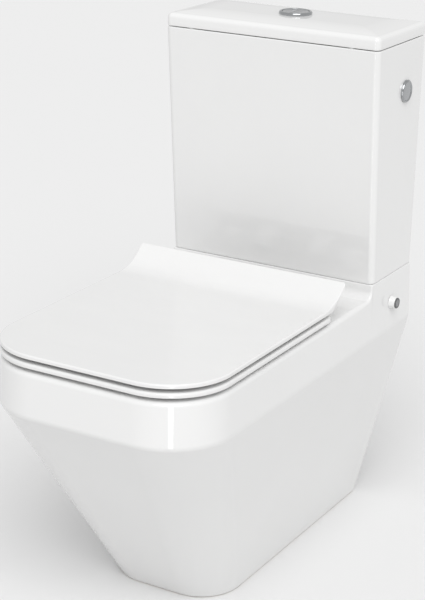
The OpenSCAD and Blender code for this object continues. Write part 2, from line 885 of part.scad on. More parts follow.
module lever_pin() {
    color("silver") at_column() along_y(-ear_gap - 3, ear_gap + 3, 0, lever_z, lever_pin_r);
}

// ---- Cap on the unused side inlet, on the right ----

module inlet_blank_cap() {
    out = inlet_x + wall_gap;
    color("silver") at_wall() {
        translate([out, -inlet_y, inlet_h]) rotate([0, 90, 0]) rotate_extrude($fn = round_fn) polygon([
            [0, 0], [blank_r, 0], [blank_r, 2.6], [blank_r - 0.6, 3.6], [blank_r - 1.6, 4],
            [blank_r - 2.6, 3.6], [blank_r - 3.4, 2.8], [0, 3.2]]);
        along_x(inlet_in_x - 13, out + 1, -inlet_y, inlet_h, shank_r - 1);
    }
}

module inlet_blank_washer() {
    color("dimgray") at_wall() difference() {
        along_x(inlet_in_x - rubber_t, inlet_in_x - wall_gap, -inlet_y, inlet_h, shank_r + 5);
        along_x(inlet_in_x - rubber_t - 1, inlet_in_x + 1, -inlet_y, inlet_h, shank_r - 1 + run);
    }
}

module inlet_blank_nut() {
    color("white") at_wall() difference() {
        along_x(inlet_in_x - rubber_t - 6, inlet_in_x - rubber_t, -inlet_y, inlet_h, shank_r + 5, 6);
        along_x(inlet_in_x - rubber_t - 7, inlet_in_x, -inlet_y, inlet_h, shank_r - 1 + run);
    }
}

// ---- Side fixings ----

module at_fixings() {
    at_wall() both_sides() translate([fix_x, -fix_y, fix_h]) children();
}

module side_fixing_collars() {
    color("white") at_fixings() rotate([0, 90, 0]) rotate_extrude($fn = round_fn) polygon([
        [screw_r + 1.5, slip], [collar_r, slip], [collar_r - 0.4, 2.5], [collar_r - 1.6, collar_out - 1],
        [collar_r - 2.4, collar_out], [screw_r + 1.5, collar_out]]);
}

module side_fixing_caps() {
    r = collar_r - 2;
    color("silver") at_fixings() rotate([0, 90, 0]) rotate_extrude($fn = round_fn) polygon([
        [0, collar_out], [r, collar_out], [r, collar_out + 1.4], [r - 0.6, collar_out + 2],
        [r - 1.8, collar_out + 2], [r - 2.4, collar_out + 1.5], [0, collar_out + 1.7]]);
}

module side_fixing_screws() {
    color("silver") at_fixings() {
        along_x(-screw_l, collar_out - 3, 0, 0, screw_r);
        along_x(collar_out - 3.5, collar_out - 0.5, 0, 0, screw_r + 1.2);
    }
}

// Angle brackets that the wall screws hold, behind the pan's sides
module fixing_brackets() {
    outer = pan_w / 2 - band_draft - pan_t - slip;
    low = fix_h - 22;
    high = fix_h + 8;
    hole_x = wall_hole_span / 2;
    color("silver") at_wall() both_sides() difference() {
        union() {
            bar([outer - sheet_t, -fix_y - 25, low], [outer, 0, high]);
            bar([hole_x - 14, -sheet_t, low], [outer, 0, high]);
            along_x(outer - sheet_t - 6, outer, -fix_y, fix_h, screw_r + 4, 6);
        }
        along_x(outer - 2 * sheet_t - 8, outer + 1, -fix_y, fix_h, screw_r + run);
        along_y(-sheet_t - 1, 1, hole_x, (low + high) / 2, wall_hole_r);
    }
}

// ---- Seat ----

module seat_outline(g = 0, fn = round_fn) {
    plan(seat_w + 2 * g, ring_back - g, pan_l - seat_inset + g, seat_r + g, seat_back_r + g, fn);
}

module ring_opening(g = 0) {
    front = pan_l - seat_inset - ring_front_w;
    plan(ring_open_w + 2 * g, front - ring_open_l - g, front + g, ring_open_r + g, ring_open_r - 30 + g);
}

// Ring: slim edge, thicker core set back from it, and two hinge knuckles
module seat_ring() {
    core_z = rim_h + bumper_h;
    color("white") at_wall() difference() {
        union() {
            translate([0, 0, ring_z]) linear_extrude(ring_t) seat_outline();
            translate([0, 0, core_z]) linear_extrude(ring_z - core_z + 1) seat_outline(-core_in);
            both_sides() {
                side_profile(ring_knuckle_x, ring_knuckle_x + knuckle_w, [
                    [-ring_back - 12, ring_z], [-hinge_y + 7, ring_z + 2], [-hinge_y + 7, hinge_h],
                    [-hinge_y - 7, hinge_h + 7], [-ring_back, ring_top], [-ring_back - 12, ring_top]]);
                along_x(ring_knuckle_x, ring_knuckle_x + knuckle_w, -hinge_y, hinge_h, knuckle_r);
            }
        }
        translate([0, 0, core_z - 1]) linear_extrude(ring_top - core_z + 2) ring_opening();
        translate([0, 0, core_z - 1]) linear_extrude(ring_z - core_z + 1) ring_opening(4);
        both_sides() {
            along_x(ring_knuckle_x - 1, ring_knuckle_x + knuckle_w + 1, -hinge_y, hinge_h, pin_r + run);
            along_x(ring_knuckle_x + 4, ring_knuckle_x + knuckle_w + 1, -hinge_y, hinge_h, damper_r + run);
        }
    }
}

// Points of the seat lid's upper side, from its raised back edge to the start of the upsweep
sweep_run = sweep_start - sweep_end;
sweep_r = (sweep_run * sweep_run + sweep_h * sweep_h) / (2 * sweep_h);
sweep_angle = asin(sweep_run / sweep_r);
sweep_points = [for (i = [12 : -1 : 0]) let (a = sweep_angle * i / 12)
    [-sweep_start + sweep_r * sin(a), lid_sheet_top + sweep_r - sweep_r * cos(a)]];

module seat_lid() {
    front = pan_l - seat_inset;
    color("white") at_wall() difference() {
        union() {
            intersection() {
                side_profile(-seat_w / 2, seat_w / 2, concat([[-front, lid_z], [-sweep_foot, lid_z],
                    [-sweep_end - 1.5, lid_sheet_top + sweep_h - 3.5]], sweep_points, [[-front, lid_sheet_top]]));
                translate([0, 0, lid_z - 1]) linear_extrude(lid_sheet_t + sweep_h + 10)
                    plan(seat_w, sweep_end - 10, front, seat_r);
            }
            both_sides() {
                side_profile(lid_knuckle_x, lid_knuckle_x + knuckle_w, [
                    [-sweep_start + 10, lid_z + 1], [-hinge_y - 8, hinge_h - 5], [-hinge_y + 9, hinge_h + 3],
                    [-hinge_y + 4, hinge_h + 9], [-sweep_end - 3, lid_sheet_top + sweep_h - lid_sheet_t - 1],
                    [-sweep_start + 30, lid_sheet_top]]);
                along_x(lid_knuckle_x, lid_knuckle_x + knuckle_w, -hinge_y, hinge_h, knuckle_r);
            }
        }
        both_sides() {
            along_x(lid_knuckle_x - 1, lid_knuckle_x + knuckle_w + 1, -hinge_y, hinge_h, pin_r + run);
            along_x(lid_knuckle_x - 1, lid_knuckle_x + knuckle_w - 4, -hinge_y, hinge_h, damper_r + run);
        }
    }
}

// Rubber pads, each pair at one distance from the wall
module pads(z1, z2, r) {
    for (y = [sweep_start + 50, pan_l - seat_inset - 75]) {
        both_sides() along_z(z1, z2, pad_x, -y, r);
    }
}

module ring_bumpers() {
    color("gainsboro") at_wall() pads(rim_h + touch, rim_h + bumper_h, 9);
}

module lid_bumpers() {
    color("gainsboro") at_wall() pads(ring_top + touch, lid_z, 6);
}

// Damper cartridge or plain pin, with its shaft towards +X or -X
module hinge_cartridge(x, dir) {
    body_x = dir > 0 ? x : x + 4;
    shaft_x = dir > 0 ? x + knuckle_w - 5 : x - shaft_in;
    along_x(body_x, body_x + knuckle_w - 4, -hinge_y, hinge_h, damper_r);
    along_x(shaft_x, shaft_x + shaft_in + 5, -hinge_y, hinge_h, pin_r);
}

module ring_damper() {
    color("lightsteelblue") at_wall() hinge_cartridge(ring_knuckle_x, -1);
}

module ring_hinge_pin() {
    color("silver") at_wall() on_left() hinge_cartridge(ring_knuckle_x, -1);
}

module lid_damper() {
    color("lightsteelblue") at_wall() on_left() hinge_cartridge(lid_knuckle_x, 1);
}

module lid_hinge_pin() {
    color("silver") at_wall() hinge_cartridge(lid_knuckle_x, 1);
}

module at_hinges() {
    at_wall() both_sides() translate([hinge_span / 2, 0, 0]) children();
}

// Posts on the rim deck that carry the hinge shafts
module hinge_posts() {
    foot_t = 4;
    color("silver") at_hinges() difference() {
        union() {
            along_z(rim_h, rim_h + foot_t, 0, -hinge_stud_y, 20);
            side_profile(-post_w / 2, post_w / 2, [
                [-hinge_stud_y - 12, rim_h + 1], [-hinge_y + 6, rim_h + 1],
                [-hinge_y + knuckle_r - 0.5, hinge_h], [-hinge_y - knuckle_r + 0.5, hinge_h]]);
            along_x(-post_w / 2, post_w / 2, -hinge_y, hinge_h, knuckle_r);
        }
        along_x(-post_w, post_w, -hinge_y, hinge_h, pin_r + run);
        along_z(rim_h - 1, rim_h + stud_up, 0, -hinge_stud_y, stud_r + run);
    }
}

module hinge_studs() {
    color("silver") at_hinges() along_z(rim_h - 45, rim_h + stud_up, 0, -hinge_stud_y, stud_r);
}

// Rubber bushes in the holes of the rim deck, with a flange below it
module hinge_bushes() {
    low = rim_h - rim_t;
    color("dimgray") at_hinges() translate([0, -hinge_stud_y, 0]) rotate_extrude($fn = round_fn) polygon([
        [stud_r + run, low - bush_t], [stud_hole_r + 4, low - bush_t], [stud_hole_r + 5, low],
        [stud_hole_r - hair, low], [stud_hole_r - hair, rim_h - 1], [stud_r + run, rim_h - 1]]);
}

module hinge_nuts() {
    top = rim_h - rim_t - bush_t;
    color("silver") at_hinges() difference() {
        along_z(top - 8, top, 0, -hinge_stud_y, 2.2 * stud_r, 6);
        along_z(top - 9, top + 1, 0, -hinge_stud_y, stud_r + run);
    }
}

pan();
cistern();
cistern_lid();
lid_buffers();
button_bezel();
bezel_nut();
full_flush_button();
half_flush_button();
full_push_rod();
half_push_rod();
full_button_spring();
half_button_spring();
flush_valve_body();
valve_base_gasket();
valve_backnut();
coupling_gasket();
overflow_tube();
flush_seal();
full_flush_rocker();
half_flush_rocker();
rocker_pins();
half_flush_float();
coupling_bolts();
bolt_rubber_washers();
bolt_steel_washers();
wing_nuts();
fill_valve_body();
fill_valve_washer();
fill_valve_nut();
fill_valve_float();
float_rod();
float_lever();
lever_pin();
inlet_blank_cap();
inlet_blank_washer();
inlet_blank_nut();
side_fixing_collars();
side_fixing_caps();
side_fixing_screws();
fixing_brackets();
seat_ring();
ring_bumpers();
ring_damper();
ring_hinge_pin();
seat_lid();
lid_bumpers();
lid_damper();
lid_hinge_pin();
hinge_posts();
hinge_studs();
hinge_bushes();
hinge_nuts();
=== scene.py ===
import math

import bmesh
import bpy
import numpy as np
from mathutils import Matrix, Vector


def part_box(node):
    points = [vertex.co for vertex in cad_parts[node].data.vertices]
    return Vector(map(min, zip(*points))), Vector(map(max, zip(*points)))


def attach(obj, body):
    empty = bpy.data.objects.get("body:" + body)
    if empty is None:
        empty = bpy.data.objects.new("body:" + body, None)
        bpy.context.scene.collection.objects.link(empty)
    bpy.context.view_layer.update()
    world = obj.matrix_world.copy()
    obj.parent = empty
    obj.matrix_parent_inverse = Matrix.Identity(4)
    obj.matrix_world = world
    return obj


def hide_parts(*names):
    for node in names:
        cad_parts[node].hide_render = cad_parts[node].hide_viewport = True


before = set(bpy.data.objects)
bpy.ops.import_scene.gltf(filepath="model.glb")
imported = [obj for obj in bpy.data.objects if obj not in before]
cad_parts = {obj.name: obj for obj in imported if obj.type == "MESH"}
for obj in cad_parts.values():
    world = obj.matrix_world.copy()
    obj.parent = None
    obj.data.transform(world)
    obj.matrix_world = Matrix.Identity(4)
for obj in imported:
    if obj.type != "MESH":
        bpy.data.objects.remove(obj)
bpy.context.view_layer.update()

bl_info = {
    "name": "Close Coupled Toilet",
    "version": (1, 0, 0),
    "blender": (4, 5, 0),
    "location": "View3D > Sidebar > Toilet",
    "description": "Builds the china, seat, fittings and studio of a close coupled toilet",
    "category": "Object",
}

# Heights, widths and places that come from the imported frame
PAN_LOW, PAN_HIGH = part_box("pan")
TANK_LOW, TANK_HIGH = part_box("cistern")
TANK_LID_LOW, TANK_LID_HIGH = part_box("cistern_lid")
RING_LOW, RING_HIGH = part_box("seat_ring")
SEAT_LID_LOW, SEAT_LID_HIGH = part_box("seat_lid")
BEZEL_LOW, BEZEL_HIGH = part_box("button_bezel")
HALF_LOW, HALF_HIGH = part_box("full_flush_button")
CAP_LOW, CAP_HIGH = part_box("inlet_blank_cap")
COLLAR_LOW, COLLAR_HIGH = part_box("side_fixing_collars")
FIX_CAP_LOW, FIX_CAP_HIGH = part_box("side_fixing_caps")
POST_LOW, POST_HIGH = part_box("hinge_posts")
BOLT_LOW, BOLT_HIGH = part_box("coupling_bolts")
STUD_LOW, STUD_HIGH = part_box("hinge_studs")
WALL = PAN_HIGH.y
RIM = POST_LOW.z
VALVE_BACK = WALL - (BOLT_LOW.y + BOLT_HIGH.y) / 2

# Sizes that no box gives, in metres, with distances measured from the wall
BAND_HEIGHT, BAND_DRAFT, BAND_R = 0.066, 0.0025, 0.098
FOOT_HALF, FOOT_FRONT, FOOT_R, FOOT_EASE = 0.099, 0.461, 0.064, 0.0015
SHELF_FRONT, SHELF_BEND = 0.139, 0.014
BOWL_HALF, BOWL_BACK, BOWL_FRONT, BOWL_R, BOWL_DEPTH = 0.138, 0.272, 0.6355, 0.086, 0.370
SUMP_D, SUMP_Z, TRAP_R, TRAP_BEND, OUTLET_Z = 0.395, 0.064, 0.036, 0.062, 0.185
SPIGOT_R, SPIGOT_END = 0.051, 0.008
CHINA = 0.012
WELL_R, WELL_DEPTH, DUCT_HALF, DUCT_LOW = 0.046, 0.024, 0.034, 0.3525
BOLT_HEAD, STUD_HEAD = 0.008, 0.004
TANK_HALF_LOW, TANK_DEEP_LOW, TANK_WALL, TANK_FLOOR = 0.177, 0.139, 0.009, 0.012
LID_CROWN, LID_CORNER, LID_CORNER_LOW = 0.0045, 0.004, 0.0045
SEAT_R, RING_BACK, RING_BACK_R = 0.095, 0.262, 0.024
KNUCKLE_R, PIN_HOLE, DAMPER_HOLE, HOLE_OVER = 0.0105, 0.00405, 0.00705, 0.002
HINGE_Z, HINGE_BACK = POST_HIGH.z - KNUCKLE_R, 0.214

ARC = 16
FINE, MEDIUM, COARSE = 96, 64, 32


def drop(a, b, t):
    """Place a share t of the way from a to b."""
    return a + (b - a) * t


# ---- Outlines and solids ----


def quarter(steps, first=0):
    """Angles of a quarter turn in equal steps."""
    return [math.pi / 2 * k / steps for k in range(first, steps + 1)]


def outline(half_w, back, front, r_front, r_back=0.0, sides=(0.0, 1.0), arc=ARC):
    """Plan outline, mirrored left to right: rows of x and distance from the wall, and its outward normals."""
    points, normals = [], []
    if r_back > 0:
        for i in range(arc):
            a = math.pi / 2 * i / arc
            points.append((-(half_w - r_back) - r_back * math.sin(a), back + r_back - r_back * math.cos(a)))
            normals.append((-math.sin(a), -math.cos(a)))
    low, high = back + r_back, front - r_front
    for t in sides[:-1]:
        points.append((-half_w, low + (high - low) * t))
        normals.append((-1.0, 0.0))
    for a in quarter(arc):
        points.append((-(half_w - r_front) - r_front * math.cos(a), high + r_front * math.sin(a)))
        normals.append((-math.cos(a), math.sin(a)))
    points += [(-x, d) for x, d in reversed(points)]
    normals += [(-x, d) for x, d in reversed(normals)]
    return np.array(points), np.array(normals)


def at_height(points, z):
    """Ring of corners in the row frame from a plan outline and one height, or a height for each point."""
    z = np.broadcast_to(z, len(points))
    return np.column_stack([points[:, 0], WALL - points[:, 1], z])


def ladder(first, count, flip):
    """Faces that close a mirrored ring, each from its left side to its right side."""
    faces = []
    for i in range(count // 2 - 1):
        face = [first + i, first + i + 1, first + count - 2 - i, first + count - 1 - i]
        faces.append(face[::-1] if flip else face)
    return faces


def loft(rings, around=False, ladders=(True, True)):
    """Skin through rings of equal length, closed at both ends, or joined end to start when around is true."""
    count = len(rings[0])
    faces = []
    for k in range(len(rings) if around else len(rings) - 1):
        a, b = k * count, (k + 1) % len(rings) * count
        for i in range(count):
            n = (i + 1) % count
            faces.append([a + i, a + n, b + n, b + i])
    if not around:
        end = (len(rings) - 1) * count
        faces += ladder(0, count, False) if ladders[0] else [list(range(count))[::-1]]
        faces += ladder(end, count, True) if ladders[1] else [list(range(end, end + count))]
    return np.vstack(rings), faces


def turned(profile, centre, axis="Z", steps=FINE):
    """Solid turned from a closed profile of radius and height along the axis."""
    closed_top = profile[0][0] < 1e-9
    rows = [(r, h) for r, h in profile if r > 1e-9] if closed_top else profile
    rings = []
    for r, h in rows:
        a = np.linspace(0, 2 * math.pi, steps, endpoint=False)
        rings.append(np.column_stack([r * np.cos(a), r * np.sin(a), np.full(steps, h)]))
    verts, faces = loft(rings, around=not closed_top, ladders=(False, False))
    if axis == "X":
        verts = verts[:, [2, 0, 1]]
    if axis == "Y":
        verts = verts[:, [1, 2, 0]]
    return verts + np.array(centre), faces


def prism(points, x1, x2):
    """Solid with a closed profile of distance from the wall and height, from x1 to x2."""
    rings = [np.array([(x, WALL - d, z) for d, z in points]) for x in (x1, x2)]
    return loft(rings, ladders=(False, False))


def block(x, d, z):
    """Solid between two x, two distances from the wall and two heights."""
    return prism([(d[0], z[0]), (d[1], z[0]), (d[1], z[1]), (d[0], z[1])], x[0], x[1])


def pipe(z1, z2, x, d, r, steps=48):
    """Upright round bar between two heights."""
    return turned([(0, z1), (r, z1), (r, z2), (0, z2)], (x, WALL - d, 0), "Z", steps)


def cross_pipe(x1, x2, d, z, r, steps=48):
    """Round bar from side to side."""
    return turned([(0, x1), (r, x1), (r, x2), (0, x2)], (0, WALL - d, z), "X", steps)


def mesh_of(name, solid):
    """Mesh of corners and faces, with its faces turned outwards."""
    verts, faces = solid
    mesh = bpy.data.meshes.new(name)
    mesh.from_pydata([tuple(v) for v in verts], [], faces)
    bm = bmesh.new()
    bm.from_mesh(mesh)
    bmesh.ops.recalc_face_normals(bm, faces=bm.faces[:])
    if bm.calc_volume() < 0:
        bmesh.ops.reverse_faces(bm, faces=bm.faces[:])
    bm.to_mesh(mesh)
    bm.free()
    return mesh


def thing(name, solid):
    """New object from a solid."""
    piece = bpy.data.objects.new(name, mesh_of(name, solid))
    bpy.context.scene.collection.objects.link(piece)
    return piece


def combine(piece, solids, operation):
    """Adds solids to a piece or cuts them out of it, one after the other."""
    for solid in solids:
        tool = thing("cutting_tool", solid)
        change = piece.modifiers.new("change", "BOOLEAN")
        change.operation, change.solver, change.object = operation, "EXACT", tool
        graph = bpy.context.evaluated_depsgraph_get()
        made = bpy.data.meshes.new_from_object(piece.evaluated_get(graph))
        piece.modifiers.clear()
        spare, piece.data = piece.data, made
        bpy.data.meshes.remove(spare)
        bpy.data.objects.remove(tool)
    return piece


def add(piece, *solids):
    """Joins solids to a piece."""
    return combine(piece, solids, "UNION")


def cut(piece, *solids):
    """Takes solids out of a piece."""
    return combine(piece, solids, "DIFFERENCE")


def dress(piece, material, body, nodes, sharp=32):
    """Smooth shading with crisp edges, one finish, one body and the CAD nodes that the piece stands for."""
    mesh = piece.data
    bm = bmesh.new()
    bm.from_mesh(mesh)
    bmesh.ops.remove_doubles(bm, verts=bm.verts[:], dist=1e-6)
    bmesh.ops.dissolve_degenerate(bm, edges=bm.edges[:], dist=1e-6)
    limit = math.radians(sharp)
    for face in bm.faces:
        face.smooth = True
        face.material_index = 0
    for edge in bm.edges:
        edge.smooth = len(edge.link_faces) == 2 and edge.calc_face_angle(math.pi) < limit
    bm.to_mesh(mesh)
    bm.free()
    mesh.materials.clear()
    mesh.materials.append(material)
    weigh = piece.modifiers.new("weighted_normals", "WEIGHTED_NORMAL")
    weigh.keep_sharp = True
    weigh.mode = "FACE_AREA_WITH_ANGLE"
    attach(piece, body)
    if nodes:
        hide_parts(*nodes)
    return piece


# ---- Finishes ----


class Nodes:
    """Short way to lay out a material's nodes."""

    def __init__(self, name):
        self.material = bpy.data.materials.new(name)
        self.material.use_nodes = True
        self.tree = self.material.node_tree
        self.shader = self.tree.nodes["Principled BSDF"]
        self.place = self.tree.nodes.new("ShaderNodeTexCoord").outputs["Object"]

    def link(self, a, b):
        """Joins an output to an input."""
        self.tree.links.new(a, b)

    def noise(self, scale, detail=2.0, roughness=0.5, stretch=None):
        """Noise in the piece's own frame, drawn out along an axis when stretch is given."""
        node = self.tree.nodes.new("ShaderNodeTexNoise")
        node.inputs["Scale"].default_value = scale
        node.inputs["Detail"].default_value = detail
        node.inputs["Roughness"].default_value = roughness
        place = self.place
        if stretch:
            mapping = self.tree.nodes.new("ShaderNodeMapping")
            mapping.inputs["Scale"].default_value = stretch
            self.link(place, mapping.inputs["Vector"])
            place = mapping.outputs["Vector"]
        self.link(place, node.inputs["Vector"])
        return node.outputs["Fac"]

    def spread(self, value, low=0.0, high=1.0, start=0.3, end=0.7):
        """Takes start to end of a value to low to high."""
        node = self.tree.nodes.new("ShaderNodeMapRange")
        node.inputs["From Min"].default_value = start
        node.inputs["From Max"].default_value = end
        node.inputs["To Min"].default_value = low
        node.inputs["To Max"].default_value = high
        self.link(value, node.inputs["Value"])
        return node.outputs["Result"]

    def mix(self, share, first, second, kind="RGBA"):
        """Blend of two colours or values, of which the first may be another node's output."""
        node = self.tree.nodes.new("ShaderNodeMix")
        node.data_type = kind
        for name, value in (("A", first), ("B", second)):
            if isinstance(value, bpy.types.NodeSocket):
                self.link(value, node.inputs[name])
            else:
                node.inputs[name].default_value = (*value, 1) if kind == "RGBA" else value
        self.link(share, node.inputs["Factor"])
        return node.outputs["Result"]

    def bump(self, value, strength, distance, under=None):
        """Bump from a value, over another bump when under is given."""
        node = self.tree.nodes.new("ShaderNodeBump")
        node.inputs["Strength"].default_value = strength
        node.inputs["Distance"].default_value = distance
        self.link(value, node.inputs["Height"])
        if under:
            self.link(under, node.inputs["Normal"])
        return node.outputs["Normal"]

    def edges(self):
        """High on edges that stand out."""
        return self.tree.nodes.new("ShaderNodeNewGeometry").outputs["Pointiness"]

    def finish(self, colour, roughness, normal, metallic=0.0):
        """Links the three outputs to the shader."""
        self.link(colour, self.shader.inputs["Base Color"])
        self.link(roughness, self.shader.inputs["Roughness"])
        self.link(normal, self.shader.inputs["Normal"])
        self.shader.inputs["Metallic"].default_value = metallic
        return self.material


def shade(colour, factor):
    """Colour made lighter or darker."""
    return tuple(max(0.0, min(1.0, c * factor)) for c in colour)


def clouded(n, value, colour, dark, light):
    """Colour that wanders between a darker and a lighter shade."""
    return n.mix(value, shade(colour, dark), shade(colour, light))


def glaze(name, colour, foot=False):
    """Glazed china: soft waves under a hard gloss, with faint clouding, and bare at the foot when asked."""
    n = Nodes(name)
    tint = clouded(n, n.spread(n.noise(7.0, 3.0)), colour, 0.992, 1.006)
    rough = n.spread(n.noise(22.0, 4.0), 0.045, 0.10)
    if foot:
        split = n.tree.nodes.new("ShaderNodeSeparateXYZ")
        n.link(n.place, split.inputs["Vector"])
        bare = n.spread(split.outputs["Z"], 1.0, 0.0, 0.0008, 0.0022)
        tint = n.mix(bare, tint, (0.70, 0.66, 0.60))
        rough = n.mix(bare, rough, 0.75, "FLOAT")
    n.shader.inputs["IOR"].default_value = 1.5
    n.shader.inputs["Coat Weight"].default_value = 0.25
    n.shader.inputs["Coat Roughness"].default_value = 0.03
    wave = n.bump(n.noise(9.0, 1.0), 0.10, 0.0016)
    return n.finish(tint, rough, n.bump(n.noise(260.0, 2.0), 0.03, 0.0002, wave))


def moulded(name, colour, gloss=0.2, grain=0.0, coat=0.0):
    """Moulded plastic: faint flow marks in its gloss, fine grain, and a painted highlight that makes convex
    edges a little paler.
    """
    n = Nodes(name)
    tint = clouded(n, n.spread(n.noise(11.0, 3.0, stretch=(1.0, 2.5, 1.0))), colour, 0.992, 1.006)
    # Painted highlight: convex edges, found by pointiness, are mixed toward a paler shade of the colour
    painted_edge_highlight = n.spread(n.edges(), 0.0, 0.35, 0.52, 0.62)
    n.shader.inputs["Coat Weight"].default_value = coat
    n.shader.inputs["Coat Roughness"].default_value = 0.05
    wave = n.bump(n.noise(14.0, 1.0), 0.05, 0.001)
    return n.finish(n.mix(painted_edge_highlight, tint, shade(colour, 1.08)),
                    n.spread(n.noise(34.0, 4.0), gloss * 0.75, gloss * 1.3),
                    n.bump(n.noise(900.0, 2.0), 0.04 + grain, 0.0001, wave))


def plated(name, colour, gloss=0.08):
    """Chrome plate: clear reflections with faint polishing haze."""
    n = Nodes(name)
    haze = n.noise(60.0, 5.0, 0.6)
    return n.finish(clouded(n, n.spread(haze), colour, 0.96, 1.03), n.spread(haze, gloss * 0.7, gloss * 1.6),
                    n.bump(n.noise(35.0, 1.0), 0.03, 0.0004), 1.0)


def milled(name, colour, gloss=0.32, stretch=(1.0, 1.0, 14.0)):
    """Plain steel: fine drawn lines, dull patches and bright rubbed edges."""
    n = Nodes(name)
    lines = n.noise(420.0, 3.0, 0.6, stretch)
    tint = clouded(n, n.spread(n.noise(40.0, 4.0)), colour, 0.86, 1.08)
    bright = n.spread(n.edges(), 0.0, 0.6, 0.52, 0.6)
    return n.finish(n.mix(bright, tint, shade(colour, 1.35)), n.spread(lines, gloss * 0.7, gloss * 1.35),
                    n.bump(lines, 0.12, 0.0001), 1.0)


def rubbery(name, colour, gloss=0.7):
    """Rubber: dull, with a dusty bloom and fine pores."""
    n = Nodes(name)
    bloom = n.spread(n.noise(55.0, 5.0, 0.65), 0.0, 1.0, 0.35, 0.75)
    return n.finish(n.mix(bloom, colour, tuple(c * 0.85 + 0.035 for c in colour)),
                    n.spread(n.noise(90.0, 3.0), gloss * 0.85, min(1.0, gloss * 1.2)),
                    n.bump(n.noise(1400.0, 2.0), 0.25, 0.0001))


def plaster(name, colour):
    """Floor: pale and dull, with the faintest mottle."""
    n = Nodes(name)
    n.link(clouded(n, n.spread(n.noise(1.5, 3.0)), colour, 0.995, 1.0), n.shader.inputs["Base Color"])
    n.shader.inputs["Roughness"].default_value = 0.9
    n.shader.inputs["Specular IOR Level"].default_value = 0.1
    return n.material


FINISHES = {}


def finish_of(name, make, *args, **more):
    """One material for all the pieces that share it."""
    if name not in FINISHES:
        FINISHES[name] = make(name, *args, **more)
    return FINISHES[name]


# ---- Settings that a user would change ----


class ToiletColours(bpy.types.PropertyGroup):
    china: bpy.props.FloatVectorProperty(
        name="China", description="Colour of the glaze",
        subtype="COLOR", size=3, default=(0.76, 0.76, 0.757))
    seat: bpy.props.FloatVectorProperty(
        name="Seat", description="Colour of the seat's plastic",
        subtype="COLOR", size=3, default=(0.76, 0.76, 0.757))
    chrome: bpy.props.FloatVectorProperty(
        name="Chrome", description="Colour of the plated pieces",
        subtype="COLOR", size=3, default=(0.42, 0.43, 0.44))
    plastic: bpy.props.FloatVectorProperty(
        name="Valve plastic", description="Colour of the fixed valve pieces",
        subtype="COLOR", size=3, default=(0.78, 0.78, 0.75))
    moving: bpy.props.FloatVectorProperty(
        name="Moving plastic", description="Colour of rockers, half flush float and lever",
        subtype="COLOR", size=3, default=(0.20, 0.38, 0.58))
    caps: bpy.props.FloatVectorProperty(
        name="Side caps", description="Colour of the caps over the side screws",
        subtype="COLOR", size=3, default=(0.10, 0.102, 0.105))
    floor: bpy.props.FloatVectorProperty(
        name="Floor", description="Colour of the floor",
        subtype="COLOR", size=3, default=(0.76, 0.76, 0.76))


class ToiletSizes(bpy.types.PropertyGroup):
    crease: bpy.props.FloatProperty(
        name="Crease softness", description="Reach of the rounding under the rim band",
        unit="LENGTH", default=0.005)
    rim: bpy.props.FloatProperty(
        name="Rim rounding", description="Radius of the rim's outer edge",
        unit="LENGTH", default=0.007)
    shelf: bpy.props.FloatProperty(
        name="Shelf rounding", description="Radius of the edges of the cistern seat",
        unit="LENGTH", default=0.0022)
    mouth: bpy.props.FloatProperty(
        name="Mouth rounding", description="Radius of the bowl's upper edge",
        unit="LENGTH", default=0.008)
    tank: bpy.props.FloatProperty(
        name="Cistern corner", description="Plan radius of the cistern's front corners",
        unit="LENGTH", default=0.009)
    tank_lid: bpy.props.FloatProperty(
        name="Cistern lid rounding", description="Radius of the lid's upper edge",
        unit="LENGTH", default=0.008)
    seat_edge: bpy.props.FloatProperty(
        name="Seat edge", description="Radius of the seat lid's upper edge",
        unit="LENGTH", default=0.0022)


class ToiletStage(bpy.types.PropertyGroup):
    sky: bpy.props.FloatProperty(
        name="Room light", description="Strength of the even light", default=0.68)
    key: bpy.props.FloatProperty(
        name="Key light", description="Strength of the broad key light", default=1.93)
    strip: bpy.props.FloatProperty(
        name="Strip light", description="Power of the slim upright light", unit="POWER", default=0.65)
    lens: bpy.props.FloatProperty(
        name="Lens", description="Focal length", subtype="DISTANCE_CAMERA", default=103.05)


# ---- Pan ----


def shelf_profile(sizes):
    """Top line of the pan: cistern seat, its front corner, the hollow curve and the rim deck.

    Rows of distance, height, normal and edge radius, from the wall to the front.
    """
    shelf_z, front, bend, corner, curve_r = PAN_HIGH.z, SHELF_FRONT, SHELF_BEND, sizes.shelf, 0.0048
    rows = []
    for d in (0.0, 0.045, 0.09, 0.125):
        rows.append((d, shelf_z, 0.0, 1.0, corner))
    for a in quarter(4):
        rows.append((front - corner + corner * math.sin(a), shelf_z - corner + corner * math.cos(a),
                     math.sin(a), math.cos(a), corner))
    for i, a in enumerate(quarter(10)):
        rows.append((front + bend - bend * math.cos(a), RIM + bend - bend * math.sin(a),
                     math.cos(a), math.sin(a), drop(corner + 0.0004, curve_r, i / 10)))
    for d in (0.165, 0.18, 0.20, 0.25, 0.32, 0.40, 0.50):
        widening = (d - front - bend) / 0.03
        rows.append((d, RIM, 0.0, 1.0, min(sizes.rim, drop(curve_r, sizes.rim, widening))))
    return rows


